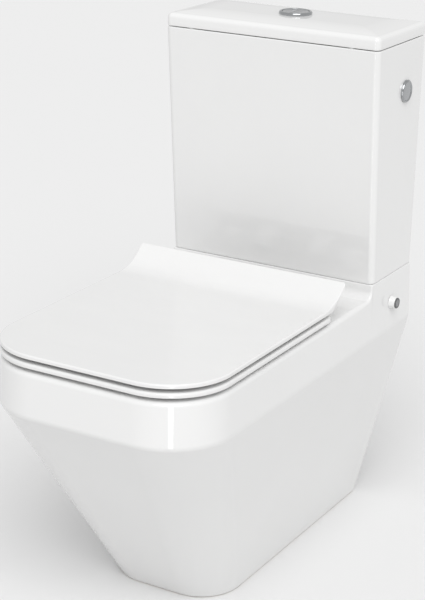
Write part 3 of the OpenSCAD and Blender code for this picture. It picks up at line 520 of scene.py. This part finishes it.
def pan_shell(sizes):
    """Outer skin of the pan as a closed solid."""
    rows = shelf_profile(sizes)
    crease_z, half_w, length = RIM - BAND_HEIGHT, PAN_HIGH.x, WALL - PAN_LOW.y
    sides = tuple(row[0] / (length - BAND_R) for row in rows) + (1.0,)

    def plan(half, front, r, inset=0.0):
        return outline(half - inset, 0.0, front - inset, r - inset, sides=sides)

    rim, normals = plan(half_w, length, BAND_R, BAND_DRAFT)
    count, steps, lean = len(rim), 8, 0.02
    line = [None] * count
    for i, row in enumerate(rows):
        line[i], line[count - 1 - i] = row, row
    fillet = []
    for a in quarter(steps):
        ring = np.zeros((count, 3))
        for i in range(count):
            (x, d), r, top, nd, nz = rim[i], sizes.rim, RIM, 0.0, 1.0
            if line[i]:
                d, top, nd, nz, r = line[i]
                x = math.copysign(half_w - BAND_DRAFT - max(0.0, top - RIM) * lean, x)
            inwards, down = r * (1 - math.cos(a)), r * (1 - math.sin(a))
            x, d = x - normals[i][0] * inwards, d - normals[i][1] * inwards - nd * down
            ring[i] = (x, WALL - d, top - nz * down)
        fillet.append(ring)
    contact = fillet[0]
    foot = at_height(plan(FOOT_HALF, FOOT_FRONT, FOOT_R)[0], 0.0)
    crease = at_height(plan(half_w, length, BAND_R)[0], crease_z)

    def toward(a, b, reach):
        """Ring moved a fixed way from a to b."""
        step = b - a
        return a + step / np.linalg.norm(step, axis=1)[:, None] * reach

    under, over = toward(crease, foot, sizes.crease), toward(crease, contact, sizes.crease)
    sole = at_height(plan(FOOT_HALF, FOOT_FRONT, FOOT_R, FOOT_EASE)[0], 0.0)
    rings = [sole, toward(foot, crease, 0.0018)]
    rings += [drop(rings[1], under, t) for t in (0.2, 0.4, 0.6, 0.8)]
    for k in range(7):
        t = k / 6
        rings.append((1 - t) ** 2 * under + 2 * t * (1 - t) * crease + t * t * over)
    rings += [drop(over, contact, t) for t in (0.25, 0.5, 0.75)]
    rings += fillet
    return loft(rings)


def pan_hollow():
    """Space inside the pan, open at the floor and at the wall."""
    foot, crease = (0.0865, 0.4485, 0.052, -0.002), (0.168, 0.660, 0.086, 0.332)
    roof = (0.166, 0.658, 0.084, 0.375)
    back, bend = -0.01, 0.009
    rings = [at_height(outline(half, back, front, r)[0], z) for half, front, r, z in (foot, crease, roof)]
    half, front, r, z = roof
    for a in quarter(4, 1):
        g = bend * (1 - math.cos(a))
        rings.append(at_height(outline(half - g, back, front - g, r - g)[0], z + bend * math.sin(a)))
    return loft(rings)


def bowl(grow, top, flare=0.0):
    """Bowl as a solid, grown by the china's thickness, with a rounded mouth when flare is given."""
    rings = []
    if flare:
        for k in range(7):
            a = math.radians(12 + 78 * k / 6)
            g = flare * (1 - math.sin(a))
            z = RIM - flare * (1 - math.cos(a)) if k else RIM + 0.002
            plan = outline(BOWL_HALF + g, BOWL_BACK - g, BOWL_FRONT + g, BOWL_R + g, BOWL_R + g)[0]
            rings.append(at_height(plan, z))
    start, depth_share = flare / BOWL_DEPTH, 0.82
    for k in range(15):
        t = start + (depth_share - start) * k / 14
        half = BOWL_HALF - 0.102 * t ** 1.8 + grow
        back = BOWL_BACK + 0.087 * t ** 1.6 - grow
        front = BOWL_FRONT - 0.2045 * t ** 1.25 + grow
        r = min(BOWL_R - 0.050 * t + grow, half - 0.0005)
        rings.append(at_height(outline(half, back, front, r, r)[0], min(top, RIM - BOWL_DEPTH * t)))
    edge, r0 = rings[-1], TRAP_R + grow
    circle = outline(r0, SUMP_D - r0, SUMP_D + r0, r0 - 0.0003, r0 - 0.0003)[0]
    waist = at_height(circle, SUMP_Z)
    rings += [drop(edge, waist, t) for t in (0.35, 0.7, 1.0)]
    for k in range(1, 7):
        a = math.pi / 2 * k / 7
        r = r0 * math.cos(a)
        ring = outline(r, SUMP_D - r, SUMP_D + r, r * 0.99, r * 0.99)[0]
        rings.append(at_height(ring, SUMP_Z - r0 * math.sin(a)))
    return loft(rings[::-1])


def trap(r, end):
    """Trap passage swept over the weir to the spigot."""
    slope, steps, sides = math.radians(60), 12, 40
    low_d, high_d, straight_d = 0.347, 0.2055, 0.15
    turns = [(a, TRAP_BEND * math.sin(a), TRAP_BEND * (1 - math.cos(a)))
             for a in (slope * i / steps for i in range(steps + 1))]
    path = [(SUMP_D, SUMP_Z, 0.0)]
    path += [(low_d - across, SUMP_Z + up, a) for a, across, up in turns]
    path += [(high_d + across, OUTLET_Z - up, a) for a, across, up in reversed(turns)]
    path += [(straight_d, OUTLET_Z, 0.0), (end, OUTLET_Z, 0.0)]
    turn = np.linspace(0, 2 * math.pi, sides, endpoint=False)
    side, top = r * np.sin(turn), r * np.cos(turn)
    rings = [np.column_stack([side, WALL - (d + top * math.sin(a)), z + top * math.cos(a)])
             for d, z, a in path]
    return loft(rings, ladders=(False, False))


def spigot():
    """Round outlet with a softened end and two shallow grip rings."""
    inner_end, groove = 0.1, 0.0008
    profile = [(0, -inner_end), (SPIGOT_R - 0.002, -inner_end), (SPIGOT_R, 0.002 - inner_end)]
    for d in (0.060, 0.044):
        profile += [(SPIGOT_R, -d - 0.0035), (SPIGOT_R - groove, -d - 0.0025),
                    (SPIGOT_R - groove, -d + 0.0025), (SPIGOT_R, -d + 0.0035)]
    profile += [(SPIGOT_R, -SPIGOT_END - 0.003), (SPIGOT_R - 0.001, -SPIGOT_END - 0.001),
                (SPIGOT_R - 0.003, -SPIGOT_END), (0, -SPIGOT_END)]
    return turned(profile, (0, WALL, OUTLET_Z), "Y", 72)


class TOILET_OT_pan(bpy.types.Operator):
    """Pan: outer skin with rim band and cistern seat, open back, bowl, trap, spigot and flush duct"""

    bl_idname = "toilet.pan"
    bl_label = "Pan"

    def execute(self, context):
        sizes, colours = context.scene.toilet_sizes, context.scene.toilet_colours
        pan = thing("pan_china", pan_shell(sizes))
        open_back, duct_floor, duct_end = -0.01, 0.340, 0.280
        cut(pan, pan_hollow(), block((-0.165, 0.165), (open_back, 0.127), (0.382, 0.4065)))
        add(pan, bowl(CHINA, RIM - 0.003), trap(TRAP_R + 0.009, 0.09), spigot(),
            pipe(duct_floor, PAN_HIGH.z - 0.001, 0, VALVE_BACK, WELL_R + CHINA, MEDIUM),
            block((-DUCT_HALF - CHINA, DUCT_HALF + CHINA), (VALVE_BACK, duct_end), (duct_floor, RIM - 0.002)))
        cut(pan, bowl(0.0, RIM, sizes.mouth), trap(TRAP_R, open_back),
            pipe(PAN_HIGH.z - WELL_DEPTH, PAN_HIGH.z + 0.001, 0, VALVE_BACK, WELL_R, MEDIUM),
            pipe(DUCT_LOW, PAN_HIGH.z, 0, VALVE_BACK, DUCT_HALF, MEDIUM),
            block((-DUCT_HALF, DUCT_HALF), (VALVE_BACK, duct_end + 0.017), (DUCT_LOW, 0.3835)))
        stud_back = WALL - (STUD_LOW.y + STUD_HIGH.y) / 2
        fix_back, fix_z = WALL - (COLLAR_LOW.y + COLLAR_HIGH.y) / 2, (COLLAR_LOW.z + COLLAR_HIGH.z) / 2
        for side in (-1, 1):
            cut(pan, pipe(0.395, 0.43, side * (BOLT_HIGH.x - BOLT_HEAD), VALVE_BACK, 0.006, COARSE),
                pipe(0.36, 0.41, side * (STUD_HIGH.x - STUD_HEAD), stud_back, 0.007, COARSE),
                cross_pipe(side * 0.150, side * 0.185, fix_back, fix_z, 0.005, COARSE))
        china = finish_of("glazed_pan", glaze, tuple(colours.china), foot=True)
        dress(pan, china, "base", ["pan"])
        return {"FINISHED"}


# ---- Cistern ----


def tank_ring(half_w, back, front, r, z):
    """Ring of the cistern or its lid, with its corners at the wall half as round as those in front."""
    plan = outline(half_w, back, front, max(r, 0.001), max(r / 2, 0.0005), (0.0, 0.5, 1.0), 12)[0]
    return at_height(plan, z)


class TOILET_OT_cistern(bpy.types.Operator):
    """Cistern: tapered box of china with softened edges and holes for its fittings"""

    bl_idname = "toilet.cistern"
    bl_label = "Cistern"

    def execute(self, context):
        sizes, colours = context.scene.toilet_sizes, context.scene.toilet_colours
        low, high, wall_t, edge, brim, bend = TANK_LOW.z, TANK_HIGH.z, TANK_WALL, 0.0025, 0.0015, 0.01
        half, deep, r = TANK_HIGH.x, WALL - TANK_LOW.y, sizes.tank

        def level(z, g=0.0, radius=r):
            """Ring at height z and inset g."""
            t = (z - low) / (high - low)
            half_w, front = drop(TANK_HALF_LOW, half, t), drop(TANK_DEEP_LOW, deep, t)
            return tank_ring(half_w - g, g, front - g, radius - g * 0.6, z)

        rings = []
        for a in quarter(4):
            rings.append(level(low + edge * (1 - math.cos(a)), edge * (1 - math.sin(a))))
        rings += [level(drop(low + edge, high - brim, t)) for t in (0.1, 0.25, 0.5, 0.75, 0.9, 1.0)]
        rings += [level(high, brim), level(high, wall_t - brim), level(high - brim, wall_t)]
        floor = low + TANK_FLOOR
        rings += [level(drop(high - brim, floor + bend, t), wall_t) for t in (0.3, 0.6, 1.0)]
        for a in quarter(5, 1):
            up, inwards = bend * (1 - math.sin(a)), bend * (1 - math.cos(a))
            rings.append(level(floor + up, wall_t + inwards, r + 0.006))
        tank = thing("cistern_china", loft(rings))
        inlet_d, inlet_z = WALL - (CAP_LOW.y + CAP_HIGH.y) / 2, (CAP_LOW.z + CAP_HIGH.z) / 2
        under, over = low - 0.005, floor + 0.005
        cut(tank, pipe(under, over, 0, VALVE_BACK, 0.030, MEDIUM))
        for side in (-1, 1):
            cut(tank, pipe(under, over, side * (BOLT_HIGH.x - BOLT_HEAD), VALVE_BACK, 0.006, COARSE),
                cross_pipe(side * 0.160, side * 0.19, inlet_d, inlet_z, 0.0115, 48))
        china = finish_of("glazed_cistern", glaze, tuple(colours.china))
        dress(tank, china, "base", ["cistern"])
        return {"FINISHED"}


class TOILET_OT_cistern_lid(bpy.types.Operator):
    """Cistern lid: rounded edge, slight crown, locating lip and the button's hole"""

    bl_idname = "toilet.cistern_lid"
    bl_label = "Cistern lid"

    def execute(self, context):
        sizes, colours = context.scene.toilet_sizes, context.scene.toilet_colours
        half, deep, r = TANK_LID_HIGH.x, WALL - TANK_LID_LOW.y, sizes.tank
        bottom, crown, lip = TANK_HIGH.z + 0.0012, TANK_LID_HIGH.z, TANK_LID_LOW.z
        roof, edge_top, bend, crown_reach = crown - 0.012, crown - LID_CROWN, sizes.tank_lid, 0.0425

        def level(z, g, radius=None):
            """Ring at height z and inset g."""
            return tank_ring(half - g, g, deep - g, radius or max(r - g, LID_CORNER), z)

        rings = [level(edge_top + LID_CROWN * u * (2 - u), bend + crown_reach * u)
                 for u in (1.0, 0.8, 0.6, 0.4, 0.2, 0.05)]
        for a in quarter(8):
            rings.append(level(edge_top - bend + bend * math.cos(a), bend * (1 - math.sin(a))))
        rings += [level(drop(edge_top - bend, bottom + 0.0015, t), 0.0) for t in (0.5, 1.0)]
        rings += [level(bottom + 0.0004, 0.0005), level(bottom, 0.0015)]
        rings += [level(*row) for row in (
            (bottom, 0.0115, LID_CORNER_LOW), (lip + 0.002, 0.0115, LID_CORNER_LOW), (lip, 0.0135, 0.0042),
            (lip, 0.0155, LID_CORNER), (lip + 0.002, 0.0175, LID_CORNER), (roof - 0.006, 0.0175, LID_CORNER),
            (roof, 0.0235, 0.003))]
        lid = thing("cistern_lid_china", loft(rings[::-1]))
        button_d = WALL - (BEZEL_LOW.y + BEZEL_HIGH.y) / 2
        cut(lid, pipe(lip - 0.003, crown + 0.01, 0, button_d, 0.0229, FINE))
        china = finish_of("glazed_lid", glaze, tuple(colours.china))
        dress(lid, china, "cistern_lid", ["cistern_lid"])
        return {"FINISHED"}


# ---- Seat ----


def add_knuckles(piece, x1, x2, damper, arm):
    """Arm with a round end on both sides, bored for the pin and, between two x, for the damper."""
    for side in (-1, 1):
        add(piece, prism(arm, side * x1, side * x2),
            cross_pipe(side * x1, side * x2, HINGE_BACK, HINGE_Z, KNUCKLE_R, 40))
        ends = side * (x1 - HOLE_OVER), side * (x2 + HOLE_OVER)
        cut(piece, cross_pipe(*ends, HINGE_BACK, HINGE_Z, PIN_HOLE, COARSE),
            cross_pipe(side * damper[0], side * damper[1], HINGE_BACK, HINGE_Z, DAMPER_HOLE, COARSE))


class TOILET_OT_seat_ring(bpy.types.Operator):
    """Seat ring: slim rounded edge, soft inner edge, core below and two hinge knuckles"""

    bl_idname = "toilet.seat_ring"
    bl_label = "Seat ring"

    def execute(self, context):
        colours = context.scene.toilet_colours
        half, front = RING_HIGH.x, WALL - RING_LOW.y
        top, low, core = RIM + 0.0135, RIM + 0.006, RIM + 0.0025
        sides, edge = (0.0, 0.2, 0.4, 0.6, 0.8, 1.0), 0.0032

        def outer(g, z):
            """Outer edge at inset g."""
            plan = outline(half - g, RING_BACK + g, front - g, SEAT_R - g, RING_BACK_R - g, sides)[0]
            return at_height(plan, z)

        def inner(g, z):
            """Edge of the opening at inset g."""
            return at_height(outline(0.113 + g, 0.315 - g, 0.607 + g, 0.095 + g, 0.065 + g, sides)[0], z)

        rings = [outer(0.0018, low), outer(0.0005, low + 0.0006), outer(0.0, low + 0.0018)]
        rings.append(outer(0.0, top - edge))
        for a in quarter(5, 1):
            rings.append(outer(edge * (1 - math.cos(a)), top - edge * (1 - math.sin(a))))
        rim_out, rim_in = rings[-1], inner(0.012, top - 0.0004)
        rings += [drop(rim_out, rim_in, t) for t in (0.33, 0.66, 1.0)]
        for g, down in ((0.008, 0.0010), (0.005, 0.0020), (0.0025, 0.0036), (0.0008, 0.0056), (0.0, 0.0078)):
            rings.append(inner(g, top - down))
        rings += [inner(0.0004, core + 0.001), inner(0.002, core)]
        rings += [outer(0.016, core), outer(0.0142, core + 0.0015), outer(0.014, low)]
        ring = thing("seat_ring_shell", loft(rings, around=True))
        arm_front, arm_back, skin = 0.274, 0.207, 0.0004
        add_knuckles(ring, 0.091, 0.121, (0.095, 0.121 + HOLE_OVER), [
            (arm_front, low + skin), (arm_back, low + 0.002), (arm_back, HINGE_Z), (0.221, HINGE_Z + 0.007),
            (RING_BACK, top - skin), (arm_front, top - skin)])
        plastic = finish_of("seat_plastic", moulded, tuple(colours.seat), 0.13, 0.0, 0.3)
        dress(ring, plastic, "seat_ring", ["seat_ring"])
        return {"FINISHED"}


class TOILET_OT_seat_lid(bpy.types.Operator):
    """Seat lid: thin sheet with softened edges, its back swept up to a thin edge, and two hinge knuckles"""

    bl_idname = "toilet.seat_lid"
    bl_label = "Seat lid"

    def execute(self, context):
        sizes, colours = context.scene.toilet_sizes, context.scene.toilet_colours
        low, thick, start, level_end, end, rise = RIM + 0.0195, 0.0065, 0.303, 0.272, 0.234, 0.029
        half, front, back_r, edge = SEAT_LID_HIGH.x, WALL - SEAT_LID_LOW.y, 0.004, sizes.seat_edge
        reach = start - end
        radius = (reach * reach + rise * rise) / (2 * rise)
        sweep, level_part = radius * math.asin(reach / radius), start - level_end
        arc_end = start - sweep
        straight = (front - SEAT_R) - (arc_end + back_r)
        bend = [t / 14 * sweep / straight for t in range(15)]
        bend = sorted(bend + [(sweep - back_r - level_part + t) / straight for t in (-0.001, 0.001)])
        sides = tuple(bend) + tuple(drop(bend[-1], 1.0, t) for t in (0.08, 0.2, 0.4, 0.6, 0.8, 1.0))

        def under(p):
            """Place on the underside: level, then straight up to the raised back edge."""
            if p <= level_part:
                return np.array((start - p, low))
            t = (p - level_part) / (sweep - level_part)
            return np.array((drop(level_end, end + 0.0015, t), drop(low, low + thick + rise - 0.0035, t)))

        def over(p):
            """Place on the upper side, bent up behind the start of the sweep."""
            a = p / radius
            return np.array((start - radius * math.sin(a), low + thick + radius * (1 - math.cos(a))))

        def sheet(g, h):
            """Ring of the lid at inset g and height h of its flat part."""
            points = outline(half - g, arc_end + g, front - g, SEAT_R - g, max(back_r - g, 0.0006), sides)[0]
            ring = np.zeros((len(points), 3))
            for i, (x, s) in enumerate(points):
                d, z = drop(under(start - s), over(start - s), h / thick) if s < start else (s, low + h)
                ring[i] = (x, WALL - d, z)
            return ring

        rings = [sheet(0.003, 0.0), sheet(0.0013, 0.0), sheet(0.0004, 0.0004), sheet(0.0, 0.0013)]
        for a in quarter(5):
            rings.append(sheet(edge * (1 - math.cos(a)), thick - edge * (1 - math.sin(a))))
        rings.append(sheet(0.006, thick))
        lid = thing("seat_lid_shell", loft(rings))
        add_knuckles(lid, 0.034, 0.064, (0.034 - HOLE_OVER, 0.060), [
            (0.293, low + 0.001), (0.222, HINGE_Z - 0.005), (0.205, HINGE_Z + 0.003),
            (0.210, HINGE_Z + 0.009), (0.2385, low + 0.0262), (0.276, low + 0.0065)])
        plastic = finish_of("seat_plastic", moulded, tuple(colours.seat), 0.13, 0.0, 0.3)
        dress(lid, plastic, "seat_lid", ["seat_lid"])
        return {"FINISHED"}


# ---- Chrome and small visible pieces ----


class TOILET_OT_button(bpy.types.Operator):
    """Flush button: chrome ring and two half buttons"""

    bl_idname = "toilet.button"
    bl_label = "Flush button"

    def execute(self, context):
        chrome = finish_of("button_plate", plated, tuple(context.scene.toilet_colours.chrome), 0.10)
        y, floor, top = (BEZEL_LOW.y + BEZEL_HIGH.y) / 2, BEZEL_LOW.z, BEZEL_HIGH.z
        base, out_r, in_r, sleeve_r, rod_hole = TANK_LID_HIGH.z + 0.00005, 0.0255, 0.0208, 0.0224, 0.012
        profile = [(0.0, floor), (sleeve_r, floor), (sleeve_r, base), (out_r, base), (out_r, top - 0.003)]
        for a in quarter(5, 1):
            profile.append((out_r - 0.0022 * (1 - math.cos(a)), top - 0.003 + 0.003 * math.sin(a)))
        profile += [(in_r + 0.001, top), (in_r + 0.0003, top - 0.0003), (in_r, top - 0.001)]
        profile += [(in_r, floor + 0.002), (0.0, floor + 0.002)]
        ring = thing("button_ring", turned(profile, (0, y, 0)))
        for side in (-1, 1):
            cut(ring, pipe(floor - 0.001, floor + 0.004, side * rod_hole, WALL - y + rod_hole, 0.0035, 24))
        dress(ring, chrome, "cistern_lid", ["button_bezel"])
        low, high, r, gap, soft = HALF_LOW.z, HALF_HIGH.z, 0.0205, 0.0004, 0.0012
        turn = np.linspace(-math.pi / 2, math.pi / 2, 49)

        def half_disc(side, g, z):
            """Ring of a half button at inset g."""
            x = gap + g + (r - gap - 2 * g) * np.cos(turn)
            return np.column_stack([side * x, (r - g) * np.sin(turn) + y, np.full(len(turn), z)])

        edge = [(soft * (1 - math.cos(a)), high - soft * (1 - math.sin(a))) for a in quarter(4)]
        dish = [(0.0030, high - 0.0002), (0.0060, high - 0.0007), (0.0088, high - 0.0009)]
        for side, body, node, name in ((1, "full_button", "full_flush_button", "full_flush_half"),
                                       (-1, "half_button", "half_flush_button", "half_flush_half")):
            rings = [half_disc(side, g, z) for g, z in [(0.0, low)] + edge + dish]
            piece = thing(name, loft(rings, ladders=(False, False)))
            dress(piece, chrome, body, [node], 40)
        return {"FINISHED"}


class TOILET_OT_inlet_cap(bpy.types.Operator):
    """Chrome cap with a raised rim on the unused side inlet"""

    bl_idname = "toilet.inlet_cap"
    bl_label = "Inlet cap"

    def execute(self, context):
        chrome = finish_of("cap_plate", plated, tuple(context.scene.toilet_colours.chrome), 0.14)
        y, z, back, out = (CAP_LOW.y + CAP_HIGH.y) / 2, (CAP_LOW.z + CAP_HIGH.z) / 2, CAP_LOW.x, CAP_HIGH.x
        r, plug_r, face = (CAP_HIGH.z - CAP_LOW.z) / 2, 0.0095, out - 0.004
        plug = [(0.0, back), (plug_r - 0.001, back), (plug_r, back + 0.001), (plug_r, face), (r, face)]
        rim = ((0.0, -0.0018), (0.0003, -0.0010), (0.0010, -0.0003), (0.0017, 0.0), (0.0024, -0.0003),
               (0.0030, -0.0010), (0.0040, -0.0014), (0.0080, -0.0010))
        profile = plug + [(r - g, out + x) for g, x in rim] + [(0.004, out - 0.0008), (0.0, out - 0.0008)]
        cap = thing("inlet_cap", turned(profile, (0, y, z), "X"))
        dress(cap, chrome, "base", ["inlet_blank_cap"])
        return {"FINISHED"}


class TOILET_OT_side_fixings(bpy.types.Operator):
    """White collars and grey caps over the screws at the pan's sides"""

    bl_idname = "toilet.side_fixings"
    bl_label = "Side fixings"

    def execute(self, context):
        colours = context.scene.toilet_colours
        white = finish_of("collar_plastic", moulded, tuple(colours.seat), 0.18)
        grey = finish_of("cap_plastic", moulded, tuple(colours.caps), 0.22)
        face = finish_of("cap_face", moulded, shade(colours.caps, 2.0), 0.25)
        y, z = (COLLAR_LOW.y + COLLAR_HIGH.y) / 2, (COLLAR_LOW.z + COLLAR_HIGH.z) / 2
        r, cap_r = (COLLAR_HIGH.z - COLLAR_LOW.z) / 2, (FIX_CAP_HIGH.z - FIX_CAP_LOW.z) / 2
        collar_end, cap_end, screw_r = COLLAR_HIGH.x, FIX_CAP_HIGH.x, 0.0045
        start, seat_x = collar_end - 0.0095, collar_end + 0.0001
        collar = [(screw_r, start), (r, start), (r - 0.0003, start + 0.0015), (r - 0.0010, start + 0.004),
                  (r - 0.0017, collar_end - 0.0015), (r - 0.0020, collar_end - 0.0005),
                  (r - 0.0026, collar_end), (screw_r, collar_end)]
        cap = [(0.0, seat_x), (cap_r, seat_x), (cap_r, seat_x + 0.0011), (cap_r - 0.0002, seat_x + 0.0016),
               (cap_r - 0.0007, cap_end), (cap_r - 0.0018, cap_end), (cap_r - 0.0024, cap_end - 0.0005),
               (0.0, cap_end - 0.0005)]
        inset = [(0.0, cap_end - 0.0006), (cap_r - 0.0026, cap_end - 0.0006),
                 (cap_r - 0.0029, cap_end - 0.0001), (0.0, cap_end - 0.0001)]
        for side, where in ((1, "right"), (-1, "left")):
            for name, rows, material, slot, node in (
                    ("fixing_collar", collar, white, "collar_plastic", "side_fixing_collars"),
                    ("fixing_cap", cap, grey, "cap_plastic", "side_fixing_caps"),
                    ("fixing_cap_face", inset, face, "cap_plastic", None)):
                mirrored = [(a, side * b) for a, b in rows]
                piece = thing(f"{name}_{where}", turned(mirrored, (0, y, z), "X", MEDIUM))
                dress(piece, material, "base", [node] if node else [], 30)
        return {"FINISHED"}


# ---- CAD nodes that stay, with finishes of their own ----


def keep(nodes, material, bevel=0.0004, angle=35):
    """Gives carried-over nodes a finish, softened edges and even shading."""
    for name in nodes:
        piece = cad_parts[name]
        piece.data.materials.clear()
        piece.data.materials.append(material)
        weld = piece.modifiers.new("weld", "WELD")
        weld.merge_threshold = 0.00001
        if bevel:
            soft = piece.modifiers.new("soft_edges", "BEVEL")
            soft.width, soft.segments, soft.limit_method = bevel, 2, "ANGLE"
            soft.angle_limit = math.radians(angle)
            soft.use_clamp_overlap = True
            soft.harden_normals = False
        weigh = piece.modifiers.new("weighted_normals", "WEIGHTED_NORMAL")
        weigh.mode = "FACE_AREA"


class TOILET_OT_valves(bpy.types.Operator):
    """Flush valve and fill valve: fixed plastic, moving plastic, float, seals and springs"""

    bl_idname = "toilet.valves"
    bl_label = "Valves"

    def execute(self, context):
        colours = context.scene.toilet_colours
        fixed, moving = tuple(colours.plastic), tuple(colours.moving)
        keep(["flush_valve_body", "fill_valve_body", "overflow_tube", "full_push_rod", "half_push_rod"],
             finish_of("valve_plastic", moulded, fixed, 0.38, 0.1))
        keep(["bezel_nut", "valve_backnut", "fill_valve_nut", "inlet_blank_nut"],
             finish_of("nut_plastic", moulded, shade(fixed, 0.94), 0.45, 0.15), 0.0006)
        keep(["full_flush_rocker", "half_flush_rocker", "half_flush_float", "float_lever"],
             finish_of("moving_plastic", moulded, moving, 0.34, 0.08))
        keep(["fill_valve_float"],
             finish_of("float_plastic", moulded, (0.68, 0.69, 0.68), 0.42, 0.05), 0.0008)
        keep(["flush_seal"], finish_of("seal_rubber", rubbery, (0.45, 0.10, 0.06), 0.5), 0.0003)
        keep(["full_button_spring", "half_button_spring"],
             finish_of("spring_wire", milled, (0.46, 0.47, 0.49), 0.25), 0)
        return {"FINISHED"}


class TOILET_OT_fasteners(bpy.types.Operator):
    """Bolts, nuts, washers, brackets, pins and rods of plain steel"""

    bl_idname = "toilet.fasteners"
    bl_label = "Fasteners"

    def execute(self, context):
        keep(["coupling_bolts", "wing_nuts", "bolt_steel_washers", "hinge_studs", "hinge_nuts",
              "side_fixing_screws"], finish_of("zinc_steel", milled, (0.52, 0.53, 0.54), 0.34), 0.0003)
        keep(["fixing_brackets"],
             finish_of("bracket_steel", milled, (0.55, 0.56, 0.57), 0.42, (1, 14, 1)), 0.0005)
        keep(["rocker_pins", "lever_pin", "float_rod", "ring_hinge_pin", "lid_hinge_pin"],
             finish_of("pin_steel", milled, (0.58, 0.59, 0.60), 0.22, (14, 1, 1)), 0.0003)
        return {"FINISHED"}


class TOILET_OT_seals(bpy.types.Operator):
    """Rubber washers, gaskets, bushes and bumpers"""

    bl_idname = "toilet.seals"
    bl_label = "Seals and bumpers"

    def execute(self, context):
        keep(["valve_base_gasket", "bolt_rubber_washers", "fill_valve_washer", "inlet_blank_washer",
              "hinge_bushes"], finish_of("washer_rubber", rubbery, (0.025, 0.025, 0.027), 0.7), 0.0003)
        keep(["coupling_gasket"], finish_of("foam_rubber", rubbery, (0.04, 0.04, 0.042), 0.85), 0.001)
        keep(["lid_buffers", "ring_bumpers", "lid_bumpers"],
             finish_of("bumper_rubber", rubbery, (0.60, 0.61, 0.60), 0.5), 0.0004)
        return {"FINISHED"}


class TOILET_OT_hinges(bpy.types.Operator):
    """Hinge posts and damper cartridges"""

    bl_idname = "toilet.hinges"
    bl_label = "Hinges"

    def execute(self, context):
        chrome = tuple(context.scene.toilet_colours.chrome)
        keep(["hinge_posts"], finish_of("hinge_plate", plated, chrome, 0.12), 0.0006, 30)
        keep(["ring_damper", "lid_damper"],
             finish_of("damper_plastic", moulded, (0.08, 0.085, 0.09), 0.35), 0.0004)
        return {"FINISHED"}


# ---- Stage ----


def placed(name, data):
    """New object for a mesh, light or camera of the stage."""
    item = bpy.data.objects.new(name, data)
    bpy.context.scene.collection.objects.link(item)
    return item


class TOILET_OT_stage(bpy.types.Operator):
    """Pale floor, soft studio light and the camera"""

    bl_idname = "toilet.stage"
    bl_label = "Stage"

    def execute(self, context):
        scene, stage, reach, floor_gap = context.scene, context.scene.toilet_stage, 30.0, 0.0003
        mesh = bpy.data.meshes.new("floor")
        corners = [(-reach, -reach, 0), (reach, -reach, 0), (reach, reach, 0), (-reach, reach, 0)]
        mesh.from_pydata(corners, [], [(0, 1, 2, 3)])
        mesh.materials.append(finish_of("pale_floor", plaster, tuple(scene.toilet_colours.floor)))
        floor = placed("floor", mesh)
        floor.location.z = -floor_gap
        world = bpy.data.worlds.new("studio")
        world.use_nodes = True
        sky = world.node_tree.nodes["Background"]
        sky.inputs["Color"].default_value = (1, 1, 1, 1)
        sky.inputs["Strength"].default_value = stage.sky
        scene.world = world
        # Broad key light from the right, in front and above
        sun = bpy.data.lights.new("key_light", "SUN")
        sun.energy, sun.angle = stage.key, math.radians(45)
        toward_sun = Vector((1.44, -1.98, 2.64))
        placed("key_light", sun).rotation_euler = toward_sun.to_track_quat("Z", "Y").to_euler()
        # Slim upright light, seen only as a bright line on the pan's rounded corner
        light = bpy.data.lights.new("strip_box", "AREA")
        light.shape, light.size, light.size_y, light.energy = "RECTANGLE", 0.07, 0.68, stage.strip
        strip, aim = placed("strip_box", light), Vector((0.1, -0.26, 0.36))
        strip.location = (0.43, -0.74, 0.36)
        strip.rotation_euler = (aim - strip.location).to_track_quat("-Z", "Y").to_euler()
        strip.visible_camera = strip.visible_diffuse = False
        camera = bpy.data.cameras.new("camera")
        camera.sensor_width, camera.lens, camera.clip_end = 36.0, stage.lens, 100.0
        camera.shift_x, camera.shift_y = 0.0302, 0.0288
        eye = placed("camera", camera)
        eye.location = (1.1986, -2.0718, 1.2596)
        eye.rotation_euler = [math.radians(a) for a in (70.1091, -0.8919, 30.7898)]
        scene.camera = eye
        scene.view_settings.view_transform = "Standard"
        return {"FINISHED"}


class TOILET_PT_panel(bpy.types.Panel):
    """Settings and steps of the toilet"""

    bl_idname = "TOILET_PT_panel"
    bl_label = "Toilet"
    bl_space_type = "VIEW_3D"
    bl_region_type = "UI"
    bl_category = "Toilet"

    def draw(self, context):
        scene, layout = context.scene, self.layout
        for group in (scene.toilet_sizes, scene.toilet_colours, scene.toilet_stage):
            box = layout.box()
            for name in group.__annotations__:
                box.prop(group, name)
        for step in STEPS:
            layout.operator(step.bl_idname)


GROUPS = {"toilet_sizes": ToiletSizes, "toilet_colours": ToiletColours, "toilet_stage": ToiletStage}
STEPS = (
    TOILET_OT_pan, TOILET_OT_cistern, TOILET_OT_cistern_lid, TOILET_OT_seat_ring, TOILET_OT_seat_lid,
    TOILET_OT_button, TOILET_OT_inlet_cap, TOILET_OT_side_fixings, TOILET_OT_valves, TOILET_OT_fasteners,
    TOILET_OT_seals, TOILET_OT_hinges, TOILET_OT_stage,
)


def register():
    """Registers settings, operators and panel."""
    for cls in (*GROUPS.values(), *STEPS, TOILET_PT_panel):
        bpy.utils.register_class(cls)
    for name, group in GROUPS.items():
        setattr(bpy.types.Scene, name, bpy.props.PointerProperty(type=group))


def unregister():
    """Takes them back."""
    for name in GROUPS:
        delattr(bpy.types.Scene, name)
    for cls in reversed((*GROUPS.values(), *STEPS, TOILET_PT_panel)):
        bpy.utils.unregister_class(cls)


def main():
    """Runs the operators in order."""
    register()
    for step in STEPS:
        getattr(bpy.ops.toilet, step.bl_idname.split(".")[1])()


if __name__ == "__main__":
    main()
